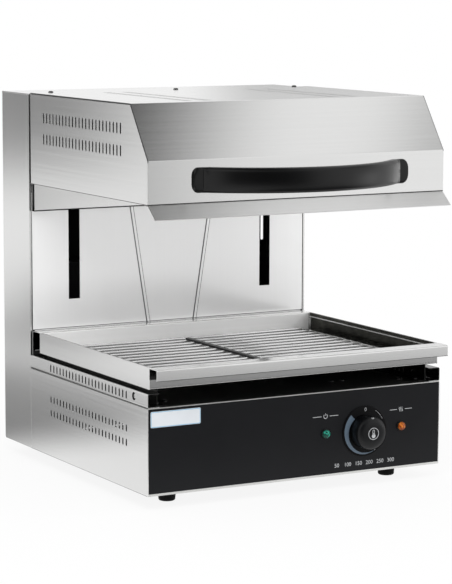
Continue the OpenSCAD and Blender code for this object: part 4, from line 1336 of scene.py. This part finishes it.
def cross_screw(shape, place, radius, height):
    """A domed screw head with a cross recess."""
    steps = 32
    slot, deep = radius * 0.13, height * 0.55
    long = radius * 0.52
    outline = [(long, slot), (slot, slot), (slot, long)]
    outline += [(-x, y) for x, y in reversed(outline)]
    outline += [(-x, -y) for x, y in outline]
    dome = ((1.0, 0.0), (1.0, 0.35), (0.93, 0.62), (0.8, 0.82), (0.66, 0.94), (0.6, 0.97))
    rings = [[(s * x, s * y, height * h) for x, y in ring_path(radius, steps)] for s, h in dome]
    shape.loft(rings, place, caps=False)
    under = [(0, k % steps + 1, (k + 1) % steps + 1) for k in range(steps)]
    shape.add([(0, 0, 0)] + rings[0], under, place)
    top = rings[-1]

    def nearest_corner(point):
        return min(range(len(outline)), key=lambda j: math.dist(outline[j], point[:2]))

    nearest = [nearest_corner(point) for point in top]
    points = top + [(x, y, height) for x, y in outline]
    points += [(x * 0.8, y * 0.8, height - deep) for x, y in outline]
    faces = []
    for k in range(steps):
        a, b = nearest[k], nearest[(k + 1) % steps]
        following = (k + 1) % steps
        if a == b:
            faces.append((k, following, steps + a))
        else:
            hops = [a]
            while hops[-1] != b:
                hops.append((hops[-1] + 1) % len(outline))
            faces.append((k, following, *[steps + j for j in reversed(hops)]))
    count = len(outline)
    for j in range(count):
        following = (j + 1) % count
        faces.append((steps + j, steps + following, steps + count + following, steps + count + j))
    faces.append(tuple(steps + count + j for j in range(count)))
    shape.add(points, faces, place)


class MakeScrews(bpy.types.Operator):
    """Cross-head screws in the casing, the deck and the hood's top, and the rail studs"""

    bl_idname = "melter.make_screws"
    bl_label = "Make screws"

    def execute(self, context):
        dark = metal("Blackened screw steel", (0.1, 0.1, 0.1), 0.34, "x", 0.1, 0.2, 0.3 * MM)
        bright = metal("Bright stud steel", (0.62, 0.62, 0.62), 0.26, "x", 0.1, 0.2, 0.3 * MM)
        # Each head stops at a turn of its own, as driven screws do
        spin_step = 0.37
        head_h, shank_r = 2.2 * MM, 2 * MM
        for node, name, body, slot in (
            ("casing_screws", "casing_screw_heads", "cabinet", "dark_fasteners"),
            ("hood_screws", "hood_screw_heads", "hood", "dark_fasteners"),
        ):
            heads = Shape()
            for low, high in node_parts(node):
                size = high - low
                middle = (low + high) / 2
                upright = size.z > size.x
                radius = size.x / 2
                if upright:
                    where = facing((middle.x, middle.y, high.z - head_h), (0, 0, 1), (0, 1, 0))
                else:
                    where = facing((middle.x, high.y - head_h, middle.z), (0, 1, 0), (0, 0, 1))
                spin = Matrix.Rotation(len(heads.points) * spin_step, 4, "Z")
                cross_screw(heads, where @ spin, radius, head_h)
                shank = (size.z if upright else size.y) - head_h
                tip = [(shank_r, 0), (shank_r, -shank + 0.6 * MM), (1.4 * MM, -shank)]
                heads.turned(tip, where, 24)
            piece = heads.piece(name, dark, body, slot, 35.0)
            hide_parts(node)
        studs = Shape()
        for low, high in node_parts("rail_studs"):
            middle = (low + high) / 2
            side = 1 if middle.x > 0 else -1
            face_x = high.x if side > 0 else low.x
            where = facing((face_x - side * head_h, middle.y, middle.z), (side, 0, 0))
            radius = (high.z - low.z) / 2
            cross_screw(studs, where, radius, head_h)
            end = head_h - (high.x - low.x)
            shoulder = end + 4 * MM
            studs.turned([(radius, 0), (radius, shoulder)], where, 32)
            studs.turned([(shank_r, shoulder), (shank_r, end)], where, 24)
        piece = studs.piece("rail_stud_heads", bright, "cabinet", "bright_fasteners", 35.0)
        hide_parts("rail_studs")
        return {"FINISHED"}


class MakeGland(bpy.types.Operator):
    """The cable gland with its ribbed dome nut and rubber seal"""

    bl_idname = "melter.make_gland"
    bl_label = "Make gland"

    def execute(self, context):
        black = moulded("Gland nylon", (0.012, 0.012, 0.013), 0.42, 1200.0)
        seal = moulded("Gland seal", (0.006, 0.006, 0.006), 0.7, 900.0, 0.05 * MM)
        islands = node_parts("cable_gland")
        body_low, body_high = max(islands, key=lambda pair: pair[1].y)
        nut_low, nut_high = min(islands, key=lambda pair: pair[1].y)
        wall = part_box("rear_cover")[1].y
        middle = (body_low + body_high) / 2
        base = facing((middle.x, wall, middle.z), (0, 1, 0))
        bore = 4.5 * MM
        out = body_high.y - wall
        gland = Shape()
        steps = 72

        def ring(height, radius, depth=0.0):
            """A ring with 18 ribs of the given depth, or six flats where the radius is None."""
            points = []
            for k in range(steps):
                angle = 2 * math.pi * k / steps
                if radius is None:
                    off_middle = math.radians(math.degrees(angle) % 60 - 30)
                    reach = 11.4 * MM * math.cos(math.radians(30)) / math.cos(off_middle)
                else:
                    reach = radius - depth * (0.5 + 0.5 * math.cos(18 * angle))
                points.append((reach * math.cos(angle), reach * math.sin(angle), height))
            return points

        rings = [ring(0, bore), ring(0, None), ring(4.4 * MM, None)]
        rings += [ring(height, radius * MM, depth * MM) for height, radius, depth in (
            (5 * MM, 9.7, 0), (5.2 * MM, 8.9, 0), (6 * MM, 8.9, 0), (6.3 * MM, 9.6, 0.6),
            (out - 4.2 * MM, 9.5, 0.6), (out - 1.8 * MM, 8.6, 0.3), (out - 0.3 * MM, 7.4, 0),
            (out, 7.0, 0), (out, 6.3, 0), (out - 1.5 * MM, 6.1, 0))]
        rings.append(ring(out - 1.5 * MM, bore))
        gland.loft(rings, base, closed_path=True)
        inner_h, thread = wall - body_low.y, 8 * MM
        gland.turned([(bore, 0), (thread, 0), (thread, -inner_h), (bore, -inner_h)],
                     base, steps, closed=True)
        back, front, nut_bore = nut_low.y - wall, nut_high.y - wall, 8.05 * MM
        nut = [ring(back, nut_bore), ring(back, None), ring(front, None), ring(front, nut_bore)]
        gland.loft(nut, base, closed_path=True)
        piece = gland.piece("gland", black, "cabinet", "black_moulding", 32.0)
        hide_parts("cable_gland")
        profile = [(bore, 3), (6.0 * MM, 3), (6.0 * MM, 0.9), (5.6 * MM, 0.5),
                   (bore + 0.3 * MM, 0.6), (bore, 1.0)]
        lip = Shape()
        lip.turned([(radius, out - down * MM) for radius, down in profile], base, 48, closed=True)
        lip.piece("gland_seal", seal, "cabinet", "black_moulding")
        return {"FINISHED"}


# ---------- Stage ----------


def aim(thing, at, target):
    """Puts a lamp in its place, looking at a target."""
    thing.location = at
    thing.rotation_euler = (Vector(target) - Vector(at)).to_track_quat("-Z", "Y").to_euler()


def soft_lamp(name, at, target, size, power):
    """A large soft lamp that lights surfaces but isn't itself mirrored in them."""
    lamp = bpy.data.lights.new(name, "AREA")
    lamp.shape = "DISK"
    lamp.size = size
    lamp.energy = power
    holder = add_object(name, lamp)
    aim(holder, at, target)
    holder.visible_camera = False
    holder.visible_glossy = False
    return holder


def mirrored_card(name, at, outward, size, values, edges=(0.25, 0.25)):
    """A plane seen only in reflections, as a studio's dark flags and bright screens are. values
    are its brightnesses at the lower left, lower right, upper left and upper right, seen from its
    front, and edges the shares of its width and height over which it fades out."""
    wide, tall = size[0] / 2, size[1] / 2
    corners = [(-wide, -tall, 0), (wide, -tall, 0), (wide, tall, 0), (-wide, tall, 0)]
    mesh = bpy.data.meshes.new(name)
    mesh.from_pydata(corners, [], [(0, 1, 2, 3)])
    holder = add_object(name, mesh)
    holder.matrix_world = facing(at, outward, (0, 1, 0) if outward in (UP, DOWN) else UP)
    material = bpy.data.materials.new(name)
    tree = empty_tree(material)
    place = axes(tree, own_place(tree))
    across = sums(tree, "MULTIPLY_ADD", place["X"], 0.5 / wide, 0.5)
    up = sums(tree, "MULTIPLY_ADD", place["Y"], 0.5 / tall, 0.5)
    tones = [(v, v, v, 1) for v in values]
    low, high = (mixed(tree, across, *pair) for pair in (tones[:2], tones[2:]))
    shade = mixed(tree, up, low, high)
    mask = sums(tree, "MULTIPLY", *(
        sums(tree, "MULTIPLY", between(tree, way, 0, fade), between(tree, way, 1, 1 - fade))
        for way, fade in zip((across, up), edges)
    ))
    glow = put(tree, "Emission", [shade, 1.0]).outputs[0]
    clear = put(tree, "BsdfTransparent").outputs[0]
    put(tree, "OutputMaterial", [put(tree, "MixShader", [mask, clear, glow]).outputs[0]])
    mesh.materials.append(material)
    for way in ("camera", "diffuse", "transmission", "volume_scatter", "shadow"):
        setattr(holder, "visible_" + way, False)


def seen_rays(tree):
    """One for rays from the camera, from a gloss or through glass, else zero."""
    path = put(tree, "LightPath").outputs
    seen = sums(tree, "ADD", path["Is Camera Ray"], path["Is Glossy Ray"])
    return sums(tree, "ADD", seen, path["Is Transmission Ray"], clamp=True)


def make_floor(radius):
    """A pale floor that keeps a soft shadow near the object and fades to white away from it."""
    sides = 96
    points = [(0, 0, 0)] + [(x, y, 0) for x, y in ring_path(radius, sides)]
    mesh = bpy.data.meshes.new("floor")
    mesh.from_pydata(points, [], [(0, k + 1, (k + 1) % sides + 1) for k in range(sides)])
    floor = add_object("floor", mesh)
    floor.location.z = -0.2 * MM
    material, tree, shader = new_material("Pale floor")
    set_shader(tree, shader, Base_Color=(0.88, 0.88, 0.88, 1), Roughness=0.8)
    white = put(tree, "Emission", [WHITE, 1.0]).outputs[0]
    place = put(tree, "NewGeometry").outputs["Position"]
    away = put(tree, "VectorMath", [place], operation="LENGTH").outputs["Value"]
    fade = sums(tree, "MULTIPLY", between(tree, away, 0.25, 0.9, 0.88, 1.0), seen_rays(tree))
    blend = put(tree, "MixShader", [fade, shader.outputs[0], white]).outputs[0]
    tree.links.new(blend, tree.nodes["Material Output"].inputs[0])
    mesh.materials.append(material)


def make_world(sky):
    """White where it is seen or mirrored, and an even grey fill where it only gives light."""
    world = bpy.data.worlds.new("Studio")
    bpy.context.scene.world = world
    tree = empty_tree(world)
    strength = sums(tree, "MULTIPLY_ADD", seen_rays(tree), 1.0 - sky, sky)
    sheen = put(tree, "Background", [WHITE, strength]).outputs[0]
    put(tree, "OutputWorld", [sheen])


# What the steel mirrors: name, place, outward direction, size, corner brightnesses, and fading
# edges where they aren't the usual ones. The floor's cards lie just above it.
ON_FLOOR = 3 * MM
FRONT, BACK, UP, DOWN, LEFT = (0, -1, 0), (0, 1, 0), (0, 0, 1), (0, 0, -1), (-1, 0, 0)
CARDS = (
    ("card_behind_left", (-0.72, 1.2, 0.54), FRONT, (0.5, 0.58), (0.3, 0.3, 0.0, 0.0)),
    ("card_behind_right", (0.95, 1.2, 0.65), FRONT, (0.8, 0.4), (0.55,) * 4),
    ("card_behind_low", (-0.77, 1.2, 0.06), FRONT, (0.18, 0.16), (0.05,) * 4, (0.3, 0.3)),
    ("card_floor_left", (-0.38, 0.635, ON_FLOOR), UP, (0.6, 1.03),
     (0.25, 0.25, 0.35, 0.35), (0.3, 0.3)),
    ("card_floor_far", (-0.75, 1.3, ON_FLOOR), UP, (0.5, 0.8), (0.1, 0.1, 0.8, 0.8), (0.3, 0.3)),
    ("card_floor_near", (0.3, -0.75, ON_FLOOR), UP, (1.4, 0.9), (0.15,) * 4, (0.2, 0.2)),
    ("card_floor_rear", (1.0, 1.5, ON_FLOOR), UP, (1.4, 1.4), (0.4,) * 4, (0.4, 0.4)),
    ("card_floor_rear_left", (-1.5, 1.5, ON_FLOOR), UP, (1.0, 1.4), (0.4,) * 4, (0.4, 0.4)),
    ("card_under_hood", (0, -0.02, 0.372), DOWN, (0.4, 0.3), (0.9,) * 4),
    ("card_overhead_left", (-0.1, -0.4, 1.0), DOWN, (0.86, 0.96), (0.05,) * 4, (0.4, 0.15)),
    ("card_overhead_right", (0.82, -0.4, 1.0), DOWN, (0.7, 0.96), (0.55,) * 4, (0.25, 0.15)),
    ("card_camera_side", (-0.6, -1.5, 0.4), BACK, (2.6, 2.6), (0.03,) * 4),
    ("screen_right", (1.3, -0.72, 0.25), LEFT, (0.6, 0.6), (2.2,) * 4),
)


class MakeStage(bpy.types.Operator):
    """The floor, the soft light and the camera"""

    bl_idname = "melter.make_stage"
    bl_label = "Make stage"

    def execute(self, context):
        given = context.scene.melter_stage
        make_floor(given.floor)
        make_world(given.sky)
        middle = (0, 0, 0.25)
        soft_lamp("Key lamp", (-1.2, -1.6, 2.4), middle, 1.6, given.key)
        soft_lamp("Side lamp", (2.2, -0.6, 1.2), middle, 1.4, given.side)
        soft_lamp("Front lamp", (0.5, -2.2, 0.5), middle, 1.2, given.front)
        for card in CARDS:
            mirrored_card(*card)
        data = bpy.data.cameras.new("Camera")
        data.lens = given.lens
        data.sensor_width = 36.0
        data.clip_start, data.clip_end = 0.05, 50.0
        camera = add_object("Camera", data)
        camera.location = given.camera_at
        camera.rotation_euler = Euler(given.camera_turn)
        context.scene.camera = camera
        context.scene.view_settings.view_transform = "Standard"
        return {"FINISHED"}


# ---------- Add-on ----------


SETTINGS = (
    ("melter_steel", MelterSteel),
    ("melter_grid", MelterGrid),
    ("melter_handle", MelterHandle),
    ("melter_controls", MelterControls),
    ("melter_stage", MelterStage),
)

STEPS = (
    FinishCasing, FinishHood, FinishTray, MakeGrid, FinishLift, FinishHeating,
    MakeHandle, MakeKnob, MakeDial, MakeLights, MakePanelMarks, MakeLabel,
    MakeScrews, MakeGland, MakeStage,
)


class MELTER_PT_panel(bpy.types.Panel):
    """Lists the sizes, colours and steps"""

    bl_label = "Cheese melter"
    bl_idname = "MELTER_PT_panel"
    bl_space_type = "VIEW_3D"
    bl_region_type = "UI"
    bl_category = "Cheese melter"

    def draw(self, context):
        for name, group in SETTINGS:
            box = self.layout.box()
            box.label(text=name.replace("melter_", "").capitalize())
            for field in group.__annotations__:
                box.prop(getattr(context.scene, name), field)
        for step in STEPS:
            self.layout.operator(step.bl_idname)


def register():
    """Adds the settings, the steps and the panel."""
    for _, group in SETTINGS:
        bpy.utils.register_class(group)
    for step in STEPS:
        bpy.utils.register_class(step)
    bpy.utils.register_class(MELTER_PT_panel)
    for name, group in SETTINGS:
        setattr(bpy.types.Scene, name, bpy.props.PointerProperty(type=group))


def unregister():
    """Takes the settings, the steps and the panel away again."""
    for name, _ in SETTINGS:
        delattr(bpy.types.Scene, name)
    bpy.utils.unregister_class(MELTER_PT_panel)
    for step in reversed(STEPS):
        bpy.utils.unregister_class(step)
    for _, group in reversed(SETTINGS):
        bpy.utils.unregister_class(group)


def main():
    """Runs each step in its order."""
    register()
    for step in STEPS:
        space, verb = step.bl_idname.split(".")
        getattr(getattr(bpy.ops, space), verb)()


if __name__ == "__main__":
    main()
